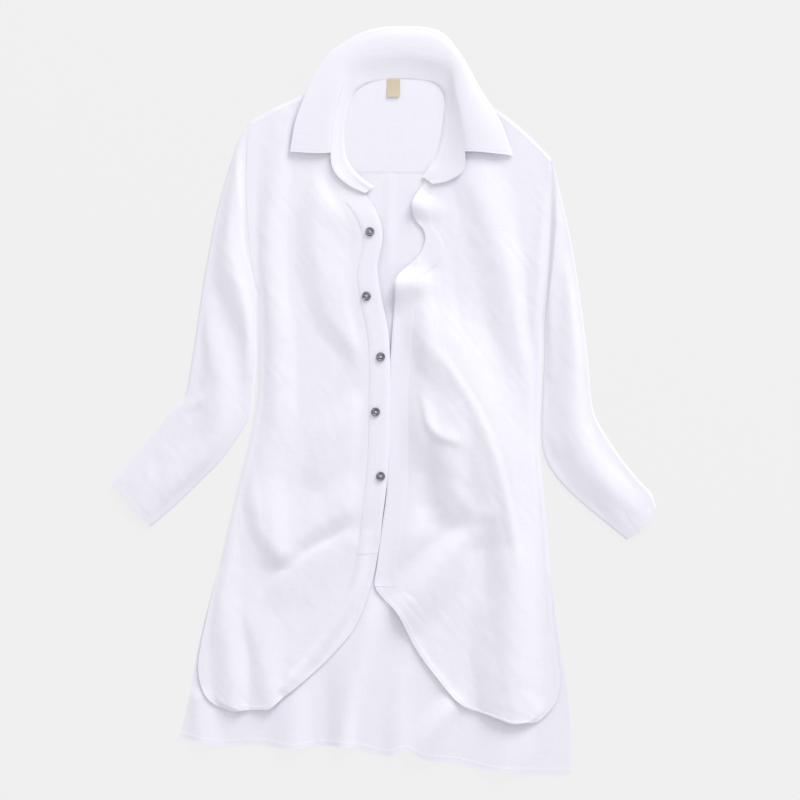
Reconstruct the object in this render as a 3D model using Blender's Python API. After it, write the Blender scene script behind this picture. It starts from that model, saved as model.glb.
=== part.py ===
"""Linen shirt dress laid flat on its back, buttons up, with the collar open.

The dress lies on the plane Z = 0. +Y runs towards the collar and +Z faces the onlooker.
Left and right are the sides seen from above with the collar at the top.
Sizes and places are in millimetres, and the meshes that are made from them are in metres.
"""

from typing import NamedTuple

import bpy
import numpy as np

# Cloth
MM = 0.001
TINY = 0.001
WALL = 1.2
SEAM_GAP = 0.4
BACK_TOP = WALL
FRONT_FLOOR = BACK_TOP + SEAM_GAP
FRONT_TOP = FRONT_FLOOR + WALL
PLACKET_TOP = FRONT_TOP + SEAM_GAP + WALL

# Front opening: the left front laps over the right one
PLACKET_WIDTH = 29
LAP_LIFT = 3.5
LAP_RAMP = 50
LAP_NECK_Y = 300
LAP_NECK_RUN = 55
LAP_HEM_Y = -215
LAP_HEM_RUN = 90

# Body
YOKE_SEAM_Y = 319
SIDE_FADE = 16
EDGE_FADE = 45
FREE_EDGE_FLAT = 8
FREE_EDGE_Y = 110
FREE_EDGE_RUN = 60
FREE_HEM_Y = -240
FREE_HEM_RUN = 40
PLACKET_FADE = 26
COVERED_MARGIN = 1.15
COVERED_SPREAD = 16
TAIL_LIFT = 0.8
TAIL_Y = -340
TAIL_RUN = 60

# Sleeves
SLEEVE_EDGE_HEIGHT = 3.8
UNDERARM_EASE = 1.4
SLEEVE_LOFT = 2.0
SLEEVE_FULLNESS = 0.7
SLEEVE_RIDGE_RUN = 5

# Ridges and troughs of the cloth
STEPS_PER_POINT = 3
RELIEF = 1.4
RIDGE_JOIN = 1.5
NARROWEST = 20

# Collar
COLLAR_WALL = 1.4
COLLAR_SEAT = 1.1
ROLL_SHARE = 0.2
LEAF_GAP = 0.8
LEAF_CROWN = 2.2
LEAF_CLEARANCE = 1.6
LEAF_NEAR_RADIUS = 16

# Buttons and label
BUTTON_RADIUS = 6.3
BUTTON_HEIGHT = 2.4
BUTTON_SEAT = 0.5
LABEL_WIDTH = 18
LABEL_LENGTH = 26
LABEL_WALL = 1.0
LABEL_CURL = 1.5
LABEL_X = 14
LABEL_TOP_Y = 450

# Mesh steps
STEPS_PER_SECTION = 2
FRONT_ROWS = 50
FRONT_COLUMNS = 12
BACK_ROWS = 28
BACK_COLUMNS = 25
BACK_ROW_CROWDING = 1.3
YOKE_ROWS = 6
YOKE_COLUMNS = 18
SLEEVE_ACROSS = 9
STAND_STEPS = 3
LEAF_STEPS = 8
BUTTON_SIDES = 16
LABEL_ROWS = 4
LABEL_COLUMNS = 3


class Armhole(NamedTuple):
    """Seam between body and sleeve, from the shoulder down, bowed outwards at its middle."""

    shoulder_x: float
    shoulder_y: float
    underarm_x: float
    underarm_y: float
    bow: float


class SidePoint(NamedTuple):
    """One point of the body's side edge, below the armhole."""

    y: float
    x: float


class FrontSection(NamedTuple):
    """One line of cloth across a front, from the side edge to the front edge."""

    side_y: float
    side_inset: float
    edge_x: float
    edge_y: float


class SleeveSection(NamedTuple):
    """One line across a sleeve, from its outer edge to its inner edge, bowed towards the cuff."""

    outer_x: float
    outer_y: float
    inner_x: float
    inner_y: float
    bow: float


class EdgePoint(NamedTuple):
    """One point of an edge that runs from left to right."""

    x: float
    y: float


class RidgePoint(NamedTuple):
    """One point of a ridge's crest, walked towards the collar: its widths to each hand and its rise."""

    x: float
    y: float
    left: float
    right: float
    rise: float


class StandSection(NamedTuple):
    """One upright line of the collar stand: its seam, what the seam lies on, and its top."""

    seam_x: float
    seam_y: float
    lies_on: float
    top_x: float
    top_y: float
    top_z: float


class LeafSection(NamedTuple):
    """One line of the collar leaf above the stand: where it rolls over and where it ends."""

    roll_x: float
    roll_y: float
    roll_z: float
    edge_x: float
    edge_y: float
    edge_z: float


LEFT_ARMHOLE = Armhole(-188, 390, -176, 150, 9)
RIGHT_ARMHOLE = Armhole(236, 338, 224, 110, 3)

LEFT_SIDE = (
    SidePoint(150, -176),
    SidePoint(80, -176),
    SidePoint(0, -178),
    SidePoint(-60, -189),
    SidePoint(-115, -203),
    SidePoint(-170, -216),
    SidePoint(-230, -230),
    SidePoint(-290, -246),
    SidePoint(-350, -261),
    SidePoint(-410, -271),
    SidePoint(-472, -286),
)

RIGHT_SIDE = (
    SidePoint(110, 224),
    SidePoint(50, 222),
    SidePoint(0, 220),
    SidePoint(-60, 219),
    SidePoint(-115, 223),
    SidePoint(-170, 229),
    SidePoint(-230, 233),
    SidePoint(-300, 241),
    SidePoint(-350, 249),
    SidePoint(-400, 257),
    SidePoint(-450, 262),
    SidePoint(-524, 263),
)

LEFT_FRONT = (
    FrontSection(390, 0, -44, 449),
    FrontSection(352, 0, -50, 405),
    FrontSection(310, 0, -55, 365),
    FrontSection(272, 0, -53, 335),
    FrontSection(242, 0, -43, 312),
    FrontSection(216, 0, -28, 292),
    FrontSection(192, 0, -11, 267),
    FrontSection(168, 0, -1, 232),
    FrontSection(140, 0, -8, 190),
    FrontSection(112, 0, -5, 155),
    FrontSection(78, 0, 6, 99),
    FrontSection(40, 0, 9, 57),
    FrontSection(0, 0, 9, 0),
    FrontSection(-55, 0, 8, -55),
    FrontSection(-112, 0, 5, -111),
    FrontSection(-165, 0, -1, -160),
    FrontSection(-225, 0, -7, -211),
    FrontSection(-282, 1, -20, -268),
    FrontSection(-335, 3, -40, -318),
    FrontSection(-378, 6, -74, -359),
    FrontSection(-408, 18, -108, -390),
    FrontSection(-425, 36, -140, -416),
    FrontSection(-435, 62, -159, -432),
)

RIGHT_FRONT = (
    FrontSection(338, 0, 87, 446),
    FrontSection(302, 0, 89, 404),
    FrontSection(270, 0, 85, 365),
    FrontSection(247, 0, 74, 338),
    FrontSection(228, 0, 62, 317),
    FrontSection(210, 0, 51, 297),
    FrontSection(192, 0, 40, 277),
    FrontSection(175, 0, 44, 254),
    FrontSection(161, 0, 55, 240),
    FrontSection(149, 0, 58, 224),
    FrontSection(137, 0, 47, 200),
    FrontSection(122, 0, 19, 173),
    FrontSection(102, 0, 16, 143),
    FrontSection(60, 0, 11, 78),
    FrontSection(0, 0, 6, 0),
    FrontSection(-65, 0, 6, -62),
    FrontSection(-125, 0, 4.5, -125),
    FrontSection(-181, 0, -2.5, -181),
    FrontSection(-232, 0, -9.5, -234),
    FrontSection(-264, 0, -12, -260),
    FrontSection(-294, 3, 1, -279),
    FrontSection(-322, 4, 20, -299),
    FrontSection(-356, 6, 43, -344),
    FrontSection(-391, 8, 71, -384),
    FrontSection(-420, 17, 107, -425),
    FrontSection(-437, 30, 143, -439),
    FrontSection(-450, 46, 180, -452),
)

LEFT_SHOULDER_BOW = 7
RIGHT_SHOULDER_BOW = 14

# Sections over which the bowed shoulder line straightens out
SHOULDER_SECTIONS = 4

# First and last section that each placket lies on
LEFT_PLACKET_SPAN = (5, 16)
RIGHT_PLACKET_SPAN = (5, 19)

YOKE_TOP_EDGE = (
    EdgePoint(-188, 390),
    EdgePoint(-160, 408),
    EdgePoint(-120, 424),
    EdgePoint(-80, 437),
    EdgePoint(-44, 449),
    EdgePoint(-20, 450),
    EdgePoint(24, 452),
    EdgePoint(65, 450),
    EdgePoint(87, 446),
    EdgePoint(120, 436),
    EdgePoint(160, 407),
    EdgePoint(205, 372),
    EdgePoint(236, 338),
)

BACK_HEM = (
    EdgePoint(-286, -472),
    EdgePoint(-230, -484),
    EdgePoint(-170, -482),
    EdgePoint(-125, -489),
    EdgePoint(-90, -484),
    EdgePoint(-33, -489),
    EdgePoint(12, -498),
    EdgePoint(32, -492),
    EdgePoint(58, -502),
    EdgePoint(107, -509),
    EdgePoint(150, -519),
    EdgePoint(205, -524),
    EdgePoint(263, -524),
)

LEFT_SLEEVE = (
    SleeveSection(-188, 390, -176 - UNDERARM_EASE, 150, 9),
    SleeveSection(-204, 362, -178, 138, 8),
    SleeveSection(-218, 320, -178, 122, 5),
    SleeveSection(-232, 270, -178, 102, 2),
    SleeveSection(-244, 213, -178, 80, 0),
    SleeveSection(-254, 155, -178, 56, 0),
    SleeveSection(-263, 92, -180, 31, 0),
    SleeveSection(-271, 42, -182, 5, 0),
    SleeveSection(-278, 8, -186, -21, 0),
    SleeveSection(-297, -14, -201, -47, 0),
    SleeveSection(-319, -41, -225, -81, 0),
    SleeveSection(-341, -68, -254, -111, 0),
    SleeveSection(-363, -95, -289, -145, 1),
    SleeveSection(-381, -116, -326, -177, 2),
)

RIGHT_SLEEVE = (
    SleeveSection(236, 338, 224 + UNDERARM_EASE, 110, 3),
    SleeveSection(247, 292, 225, 96, 3),
    SleeveSection(257, 250, 225, 80, 2),
    SleeveSection(267, 198, 225, 62, 0),
    SleeveSection(275, 145, 224, 42, 0),
    SleeveSection(282, 92, 223, 20, 0),
    SleeveSection(287, 48, 222, -6, 0),
    SleeveSection(290, 10, 221, -34, 0),
    SleeveSection(297, -23, 222, -64, 0),
    SleeveSection(312, -50, 230, -90, 0),
    SleeveSection(332, -80, 247, -114, 0),
    SleeveSection(356, -110, 272, -139, 2),
    SleeveSection(374, -129, 304, -166, 4),
    SleeveSection(381, -148, 340, -195, 7),
)

COLLAR_STAND = (
    StandSection(-17, 297, PLACKET_TOP, -26, 290, 6),
    StandSection(-36, 311, PLACKET_TOP, -50, 302, 7),
    StandSection(-52, 331, FRONT_TOP, -69, 321, 8),
    StandSection(-58, 355, FRONT_TOP, -74, 347, 8.5),
    StandSection(-57, 390, FRONT_TOP, -70, 391, 8.5),
    StandSection(-50, 421, FRONT_TOP, -60, 431, 8.5),
    StandSection(-38, 440, FRONT_TOP, -46, 464, 7.5),
    StandSection(-11, 449, BACK_TOP, -13, 477, 7),
    StandSection(26, 452, BACK_TOP, 26, 481, 7.5),
    StandSection(62, 449, BACK_TOP, 65, 477, 8.5),
    StandSection(83, 441, FRONT_TOP, 94, 464, 10.5),
    StandSection(90, 421, FRONT_TOP, 101, 431, 13),
    StandSection(88, 388, FRONT_TOP, 109, 393, 14),
    StandSection(82, 355, FRONT_TOP, 114, 348, 12),
    StandSection(73, 334, FRONT_TOP, 112, 322, 10.5),
    StandSection(65, 320, PLACKET_TOP, 92, 308, 7.5),
    StandSection(58, 311, PLACKET_TOP, 69, 303, 6.5),
)

# The leaf begins beside this section of the stand
LEAF_FIRST_STAND = 3
COLLAR_LEAF = (
    LeafSection(-82, 346, 9, -131, 348, 9.5),
    LeafSection(-77, 391, 9.5, -123, 391, 10),
    LeafSection(-67, 434, 9.5, -107, 433, 9),
    LeafSection(-54, 472, 8.5, -81, 481, 6.5),
    LeafSection(-17, 491, 8, -29, 516, 5),
    LeafSection(25, 495, 8.5, 25, 524.5, 4),
    LeafSection(69, 491, 9.5, 79, 517, 5),
    LeafSection(100, 470, 11.5, 111, 480, 7),
    LeafSection(109, 434, 14, 137, 434, 8),
    LeafSection(118, 394, 14.5, 163, 393, 6.5),
    LeafSection(124, 348, 13, 182, 343, 5),
)

# Ridges of the left front. A trough has a negative rise.
LEFT_FRONT_RIDGES = (
    (
        RidgePoint(-143, -216, 24, 40, 5.0),
        RidgePoint(-163, -188, 26, 60, 5.5),
        RidgePoint(-176, -150, 24, 60, 5.0),
        RidgePoint(-178, -112, 22, 55, 3.5),
        RidgePoint(-166, -78, 24, 40, 3.0),
        RidgePoint(-152, -35, 28, 34, 3.5),
        RidgePoint(-150, 40, 28, 34, 4.5),
        RidgePoint(-152, 120, 26, 34, 4.5),
        RidgePoint(-159, 180, 24, 34, 3.5),
        RidgePoint(-161, 240, 20, 34, 3.5),
        RidgePoint(-152, 300, 26, 26, 3.5),
        RidgePoint(-143, 350, 34, 22, 3.0),
        RidgePoint(-136, 395, 36, 20, 1.5),
    ),
    (
        RidgePoint(-26, 48, 26, 24, 0.5),
        RidgePoint(-44, 78, 30, 30, 3.0),
        RidgePoint(-70, 118, 36, 44, 4.5),
        RidgePoint(-84, 165, 38, 56, 5.0),
        RidgePoint(-94, 215, 36, 60, 5.0),
        RidgePoint(-93, 262, 34, 56, 4.5),
        RidgePoint(-84, 305, 36, 40, 3.0),
        RidgePoint(-80, 335, 30, 26, 1.0),
    ),
    (
        RidgePoint(-98, -128, 30, 50, 2.0),
        RidgePoint(-88, -96, 32, 56, 5.0),
        RidgePoint(-68, -50, 34, 56, 5.5),
        RidgePoint(-42, -14, 32, 40, 4.0),
        RidgePoint(-24, 10, 26, 26, 1.0),
    ),
    (
        RidgePoint(-146, -214, 50, 26, 4.5),
        RidgePoint(-112, -186, 70, 28, 5.0),
        RidgePoint(-70, -162, 70, 28, 5.0),
        RidgePoint(-34, -140, 56, 26, 4.0),
        RidgePoint(-6, -112, 40, 18, 2.0),
    ),
    (
        RidgePoint(-164, -288, 24, 50, 0.5),
        RidgePoint(-140, -250, 20, 70, 3.0),
        RidgePoint(-100, -222, 20, 70, 3.0),
        RidgePoint(-56, -198, 18, 50, 2.0),
    ),
    (
        RidgePoint(-212, -445, 34, 26, 5.0),
        RidgePoint(-214, -380, 34, 30, 5.0),
        RidgePoint(-221, -320, 32, 36, 4.5),
        RidgePoint(-228, -262, 20, 34, 3.5),
        RidgePoint(-222, -205, 18, 30, 2.5),
        RidgePoint(-210, -160, 16, 24, 0.5),
    ),
    (
        RidgePoint(-156, -440, 36, 24, 4.5),
        RidgePoint(-162, -400, 34, 26, 4.5),
        RidgePoint(-170, -356, 26, 40, 3.5),
        RidgePoint(-184, -318, 18, 50, 2.2),
        RidgePoint(-203, -276, 14, 50, 0.5),
    ),
    (
        RidgePoint(-136, -402, 12, 16, 2.5),
        RidgePoint(-88, -344, 12, 16, 3.5),
        RidgePoint(-42, -268, 12, 16, 3.5),
        RidgePoint(-24, -190, 12, 16, 1.5),
    ),
)

RIGHT_FRONT_RIDGES = (
    (
        RidgePoint(182, -470, 60, 60, 4.5),
        RidgePoint(176, -400, 64, 52, 9.5),
        RidgePoint(177, -300, 62, 50, 11.5),
        RidgePoint(180, -232, 58, 48, 11.5),
        RidgePoint(181, -195, 74, 46, 9.5),
        RidgePoint(170, -140, 110, 60, 10.5),
        RidgePoint(156, -84, 118, 80, 12.0),
        RidgePoint(134, -30, 96, 90, 12.0),
        RidgePoint(114, 8, 72, 90, 11.5),
        RidgePoint(84, 54, 60, 90, 10.5),
        RidgePoint(56, 86, 46, 90, 9.0),
        RidgePoint(28, 122, 40, 80, 7.0),
        RidgePoint(8, 160, 40, 70, 6.0),
    ),
    (
        RidgePoint(210, -60, 30, 30, 0.5),
        RidgePoint(200, -10, 40, 30, 2.5),
        RidgePoint(194, 40, 46, 26, 4.0),
        RidgePoint(184, 100, 44, 24, 5.0),
        RidgePoint(177, 150, 46, 26, 5.5),
        RidgePoint(168, 190, 50, 34, 6.0),
        RidgePoint(152, 235, 46, 46, 6.0),
        RidgePoint(138, 275, 40, 60, 5.0),
        RidgePoint(122, 310, 36, 60, 3.5),
        RidgePoint(112, 350, 30, 50, 1.5),
    ),
    (
        RidgePoint(222, 20, 20, 20, 0.5),
        RidgePoint(218, 100, 24, 20, 2.0),
        RidgePoint(224, 200, 22, 20, 2.0),
        RidgePoint(226, 290, 20, 20, 0.8),
    ),
    (
        RidgePoint(34, 278, 30, 24, 8.0),
        RidgePoint(62, 268, 26, 24, 3.5),
        RidgePoint(88, 262, 24, 24, 0.5),
    ),
    (
        RidgePoint(80, 158, 30, 30, 0.8),
        RidgePoint(44, 162, 34, 30, 5.0),
        RidgePoint(10, 160, 40, 34, 8.0),
    ),
    (
        RidgePoint(112, -64, 10, 16, 1.0),
        RidgePoint(98, -58, 9, 18, 4.0),
        RidgePoint(78, -51, 8, 20, 5.5),
        RidgePoint(64, -36, 8, 20, 5.5),
        RidgePoint(57, -8, 10, 20, 3.5),
        RidgePoint(51, 32, 14, 20, 0.5),
    ),
    (
        RidgePoint(124, -74, 70, 60, 2.0),
        RidgePoint(102, -62, 84, 80, 7.0),
        RidgePoint(80, -50, 84, 95, 9.5),
        RidgePoint(62, -30, 60, 95, 9.0),
        RidgePoint(52, 0, 36, 80, 6.0),
        RidgePoint(46, 40, 24, 60, 2.0),
    ),
    (
        RidgePoint(128, -156, 44, 22, 2.0),
        RidgePoint(98, -128, 60, 34, 7.5),
        RidgePoint(97, -94, 62, 32, 8.5),
        RidgePoint(104, -62, 56, 26, 5.0),
    ),
    (
        RidgePoint(4, -256, 30, 18, 2.5),
        RidgePoint(20, -222, 34, 20, 5.0),
        RidgePoint(38, -190, 34, 30, 5.0),
        RidgePoint(54, -168, 36, 40, 2.2),
        RidgePoint(74, -152, 34, 40, 0.3),
    ),
    (
        RidgePoint(18, -310, 26, 40, 7.0),
        RidgePoint(50, -268, 28, 50, 8.0),
        RidgePoint(78, -234, 30, 54, 8.0),
        RidgePoint(102, -206, 30, 44, 7.0),
        RidgePoint(126, -186, 26, 26, 4.0),
        RidgePoint(142, -160, 22, 20, 1.0),
    ),
    (
        RidgePoint(148, -300, 40, 30, -0.5),
        RidgePoint(146, -230, 36, 30, -3.0),
        RidgePoint(142, -180, 26, 24, -2.0),
    ),
    (
        RidgePoint(62, -140, 24, 30, -2.0),
        RidgePoint(58, -100, 22, 34, -4.0),
        RidgePoint(68, -66, 16, 24, -2.0),
    ),
    (
        RidgePoint(112, -432, 20, 20, 1.0),
        RidgePoint(94, -412, 18, 18, 1.2),
        RidgePoint(62, -376, 16, 16, 1.5),
        RidgePoint(40, -330, 16, 14, 0.6),
    ),
)

BACK_RIDGES = (
    (
        RidgePoint(8, 150, 16, 16, 0.3),
        RidgePoint(8, 230, 14, 12, 0.9),
        RidgePoint(9, 312, 14, 12, 0.7),
    ),
    (
        RidgePoint(-58, -490, 26, 20, 7.0),
        RidgePoint(-50, -430, 34, 18, 7.0),
        RidgePoint(-36, -370, 50, 24, 6.0),
        RidgePoint(-22, -316, 30, 22, 5.0),
        RidgePoint(-12, -268, 16, 16, 1.0),
    ),
    (
        RidgePoint(14, -504, 20, 20, 2.0),
        RidgePoint(18, -450, 24, 30, 2.5),
        RidgePoint(24, -390, 20, 30, 1.0),
    ),
    (
        RidgePoint(40, -500, 24, 50, 7.0),
        RidgePoint(66, -462, 24, 40, 8.0),
        RidgePoint(88, -434, 24, 26, 6.5),
        RidgePoint(104, -410, 24, 22, 0.8),
    ),
    (
        RidgePoint(166, -524, 50, 40, 5.5),
        RidgePoint(176, -480, 44, 50, 4.5),
        RidgePoint(190, -440, 40, 40, 1.5),
    ),
    (
        RidgePoint(-130, -490, 40, 34, 6.0),
        RidgePoint(-124, -440, 40, 30, 4.5),
        RidgePoint(-114, -400, 30, 30, 1.5),
    ),
    (
        RidgePoint(-258, -482, 24, 40, 4.0),
        RidgePoint(-262, -420, 12, 30, 2.5),
    ),
)

LEFT_SLEEVE_RIDGES = (
    (
        RidgePoint(-186, 40, 18, 16, 2.0),
        RidgePoint(-188, 100, 26, 18, 4.5),
        RidgePoint(-200, 145, 36, 22, 5.5),
        RidgePoint(-213, 190, 34, 24, 5.5),
        RidgePoint(-217, 235, 26, 24, 5.0),
        RidgePoint(-214, 290, 20, 26, 4.0),
        RidgePoint(-210, 345, 14, 26, 3.0),
        RidgePoint(-198, 372, 12, 24, 1.0),
    ),
    (
        RidgePoint(-330, -160, 40, 20, 1.0),
        RidgePoint(-292, -122, 44, 22, 3.0),
        RidgePoint(-258, -92, 44, 26, 4.5),
        RidgePoint(-236, -58, 42, 30, 5.0),
        RidgePoint(-230, -10, 40, 34, 5.0),
        RidgePoint(-235, 45, 24, 30, 4.5),
        RidgePoint(-246, 95, 14, 26, 3.0),
        RidgePoint(-250, 135, 10, 22, 1.0),
    ),
    (
        RidgePoint(-178, 172, 10, 12, -0.3),
        RidgePoint(-188, 215, 12, 14, -1.8),
        RidgePoint(-196, 262, 12, 14, -0.6),
    ),
    (
        RidgePoint(-276, -8, 10, 14, 0.5),
        RidgePoint(-258, 0, 12, 14, 1.6),
        RidgePoint(-240, 22, 12, 14, 0.3),
    ),
)

RIGHT_SLEEVE_RIDGES = (
    (
        RidgePoint(232, 40, 14, 30, 1.5),
        RidgePoint(232, 120, 14, 30, 2.5),
        RidgePoint(236, 220, 14, 26, 2.5),
        RidgePoint(240, 300, 12, 18, 1.5),
    ),
    (
        RidgePoint(356, -160, 40, 26, 1.0),
        RidgePoint(322, -126, 44, 34, 4.0),
        RidgePoint(292, -96, 44, 36, 5.0),
        RidgePoint(272, -56, 44, 34, 5.5),
        RidgePoint(265, -10, 42, 30, 5.0),
        RidgePoint(266, 70, 36, 22, 4.5),
        RidgePoint(262, 140, 26, 18, 3.5),
        RidgePoint(254, 200, 22, 16, 1.0),
    ),
    (
        RidgePoint(250, -92, 16, 16, 0.3),
        RidgePoint(240, -60, 14, 18, 1.5),
        RidgePoint(230, -30, 12, 16, 0.3),
    ),
)

BUTTON_PLACES = (
    EdgePoint(-19, 236),
    EdgePoint(-24, 146),
    EdgePoint(-4, 61),
    EdgePoint(-11, -16),
    EdgePoint(-4, -106),
)

LINEN_WHITE = "F6F5FF"
BUTTON_GREY = "96929C"
LABEL_BEIGE = "D0C0A4"


# Curves
def eased(amount):
    """Goes smoothly from 0 to 1 as the amount does."""
    held = np.clip(amount, 0, 1)
    return held * held * (3 - 2 * held)


def smooth_curve(at, knots, values):
    """Values of a smooth curve through the given ones, whose knots rise."""
    knots = np.asarray(knots, float)
    values = np.asarray(values, float)
    slopes = np.gradient(values, knots, axis=0)
    index = np.clip(np.searchsorted(knots, at, side="right") - 1, 0, len(knots) - 2)
    span = knots[index + 1] - knots[index]
    part = (at - knots[index]) / span
    if values.ndim > 1:
        span = span[..., None]
        part = part[..., None]
    rest = 1 - part
    near = rest * rest * ((1 + 2 * part) * values[index] + part * span * slopes[index])
    far = part * part * ((1 + 2 * rest) * values[index + 1] - rest * span * slopes[index + 1])
    return near + far


def through_sections(table, levels=None):
    """Columns of a table as smooth curves, read at the given levels or at even steps between its rows."""
    last = len(table) - 1
    if levels is None:
        levels = np.linspace(0, last, STEPS_PER_SECTION * last + 1)
    return smooth_curve(levels, np.arange(len(table)), np.array(table)).T


def front_levels(table):
    """Levels between the sections of a front that lie about evenly apart on the cloth."""
    side_y, _, edge_x, edge_y = np.array(table, float).T
    steps = np.maximum(np.abs(np.diff(side_y)), np.hypot(np.diff(edge_x), np.diff(edge_y)))
    walked = np.concatenate([[0], np.cumsum(steps)])
    return np.interp(np.linspace(0, walked[-1], FRONT_ROWS + 1), walked, np.arange(len(table)))


def armhole_x(armhole, outward, y):
    """X of the armhole seam at a height on the table."""
    part = (armhole.shoulder_y - y) / (armhole.shoulder_y - armhole.underarm_y)
    straight = armhole.shoulder_x + part * (armhole.underarm_x - armhole.shoulder_x)
    return straight + outward * armhole.bow * 4 * part * (1 - part)


def side_x(armhole, table, outward, y):
    """X of the body's side edge: the armhole above, and the side seam below it."""
    below = smooth_curve(-np.minimum(y, armhole.underarm_y), [-p.y for p in table], [p.x for p in table])
    return np.where(y > armhole.underarm_y, armhole_x(armhole, outward, y), below)


def left_side_x(y):
    return side_x(LEFT_ARMHOLE, LEFT_SIDE, -1, y)


def right_side_x(y):
    return side_x(RIGHT_ARMHOLE, RIGHT_SIDE, 1, y)


# Ridges
def ridge_rise(ridge, x, y, spread):
    """Height of one ridge or trough, falling to nothing at its widths and the spread beyond them."""
    levels = np.linspace(0, len(ridge) - 1, STEPS_PER_POINT * (len(ridge) - 1) + 1)
    path_x, path_y, left, right, rise = through_sections(ridge, levels)
    path = np.stack([path_x, path_y], axis=-1)
    points = np.stack([x, y], axis=-1)
    nearest = np.full(x.shape, np.inf)
    along = np.zeros(x.shape)
    hand = np.zeros(x.shape)
    for number, (start, end) in enumerate(zip(path[:-1], path[1:])):
        piece = end - start
        part = np.clip(((points - start) @ piece) / (piece @ piece), 0, 1)
        offset = points - (start + part[..., None] * piece)
        distance = np.hypot(offset[..., 0], offset[..., 1])
        closer = distance < nearest
        nearest = np.where(closer, distance, nearest)
        along = np.where(closer, number + part, along)
        turned = (piece[0] * offset[..., 1] - piece[1] * offset[..., 0]) / np.hypot(*piece)
        hand = np.where(closer, turned / np.maximum(distance, TINY), hand)
    places = np.arange(len(path))
    to_left = 0.5 + 0.5 * hand
    width = to_left * np.interp(along, places, left) + (1 - to_left) * np.interp(along, places, right)
    share = np.minimum(nearest / (np.maximum(width, NARROWEST) + spread), 1)
    return np.interp(along, places, rise) * (1 - share) ** 2 * (1 + 2 * share)


def ridged(table, x, y, spread=0):
    """Height of all of a piece's ridges: the main ones joined smoothly, and the troughs taken off."""
    rises = [ridge_rise(ridge, x, y, spread) for ridge in table]
    up = sum(np.maximum(rise, 0) ** RIDGE_JOIN for rise in rises) ** (1 / RIDGE_JOIN)
    return np.maximum(RELIEF * (up + sum(np.minimum(rise, 0) for rise in rises)), 0)


# Solids
def strip_faces(first, second):
    """Triangles between two rows of point numbers."""
    faces = []
    for a, b, c, d in zip(first[:-1], first[1:], second[1:], second[:-1]):
        faces += [(a, b, c), (a, c, d)]
    return faces


def grid_faces(numbers):
    """Triangles over a grid of point numbers."""
    return [face for first, second in zip(numbers[:-1], numbers[1:]) for face in strip_faces(first, second)]


def facing_out(points, faces):
    """The faces, all turned round if they enclose a negative volume."""
    corners = points[np.array(faces)]
    volume = np.einsum("ij,ij->", corners[:, 0], np.cross(corners[:, 1], corners[:, 2]))
    return faces if volume > 0 else [face[::-1] for face in faces]


def sheet_solid(lower, upper):
    """Closed wall of cloth between two grids of points."""
    rows, columns = lower.shape[:2]
    count = rows * columns
    low = np.arange(count).reshape(rows, columns)
    high = low + count
    rim = np.concatenate([low[0], low[1:, -1], low[-1, -2::-1], low[-2:0:-1, 0], low[0, :1]])
    faces = grid_faces(low) + [face[::-1] for face in grid_faces(high)] + strip_faces(rim + count, rim)
    points = np.concatenate([lower.reshape(-1, 3), upper.reshape(-1, 3)])
    return points, facing_out(points, faces)


def tube_solid(outer, inner):
    """Closed wall of an open tube between two stacks of rings."""
    sections, around = outer.shape[:2]
    count = sections * around
    skin = np.arange(count).reshape(sections, around)
    skin = np.concatenate([skin, skin[:, :1]], axis=1)
    lining = skin + count
    faces = grid_faces(skin) + [face[::-1] for face in grid_faces(lining)]
    faces += strip_faces(lining[0], skin[0]) + strip_faces(skin[-1], lining[-1])
    points = np.concatenate([outer.reshape(-1, 3), inner.reshape(-1, 3)])
    return points, facing_out(points, faces)


def turned_solid(profile, sides):
    """Closed solid from a profile of radius and height that starts and ends on its axis."""
    turn = np.linspace(0, 2 * np.pi, sides, endpoint=False)
    circle = np.stack([np.cos(turn), np.sin(turn), 0 * turn], axis=-1)
    rings = [radius * circle + (0, 0, height) for radius, height in profile[1:-1]]
    bottom = np.array([[0, 0, profile[0][1]]])
    top = np.array([[0, 0, profile[-1][1]]])
    points = np.concatenate([*rings, bottom, top])
    numbers = np.arange(sides * len(rings)).reshape(len(rings), sides)
    numbers = np.concatenate([numbers, numbers[:, :1]], axis=1)
    lowest = len(points) - 2
    highest = len(points) - 1
    faces = grid_faces(numbers)
    faces += [(lowest, b, a) for a, b in zip(numbers[0][:-1], numbers[0][1:])]
    faces += [(highest, a, b) for a, b in zip(numbers[-1][:-1], numbers[-1][1:])]
    return points, facing_out(points, faces)


def normals(grid):
    """Unit normals of a grid of points, on its upper side."""
    crossed = np.cross(np.gradient(grid, axis=0), np.gradient(grid, axis=1))
    crossed /= np.linalg.norm(crossed, axis=-1, keepdims=True)
    return crossed * np.where(crossed[..., 2:] < 0, -1, 1)


def raised(x, y, z):
    return np.stack([x, y, z], axis=-1)


# Back
def back_sheet():
    """Lower back, flat on the table but for its ridges."""
    share = np.linspace(0, 1, BACK_ROWS + 1)[:, None]
    down = 1 - (1 - share) ** BACK_ROW_CROWDING
    across = np.linspace(0, 1, BACK_COLUMNS + 1)[None, :]
    hem_x = BACK_HEM[0].x + across * (BACK_HEM[-1].x - BACK_HEM[0].x)
    hem_y = smooth_curve(hem_x, [p.x for p in BACK_HEM], [p.y for p in BACK_HEM])
    y = YOKE_SEAM_Y + down * (hem_y - YOKE_SEAM_Y)
    x = left_side_x(y) + across * (right_side_x(y) - left_side_x(y))
    lower = raised(x, y, ridged(BACK_RIDGES, x, y))
    return sheet_solid(lower, lower + WALL * normals(lower))


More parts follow.
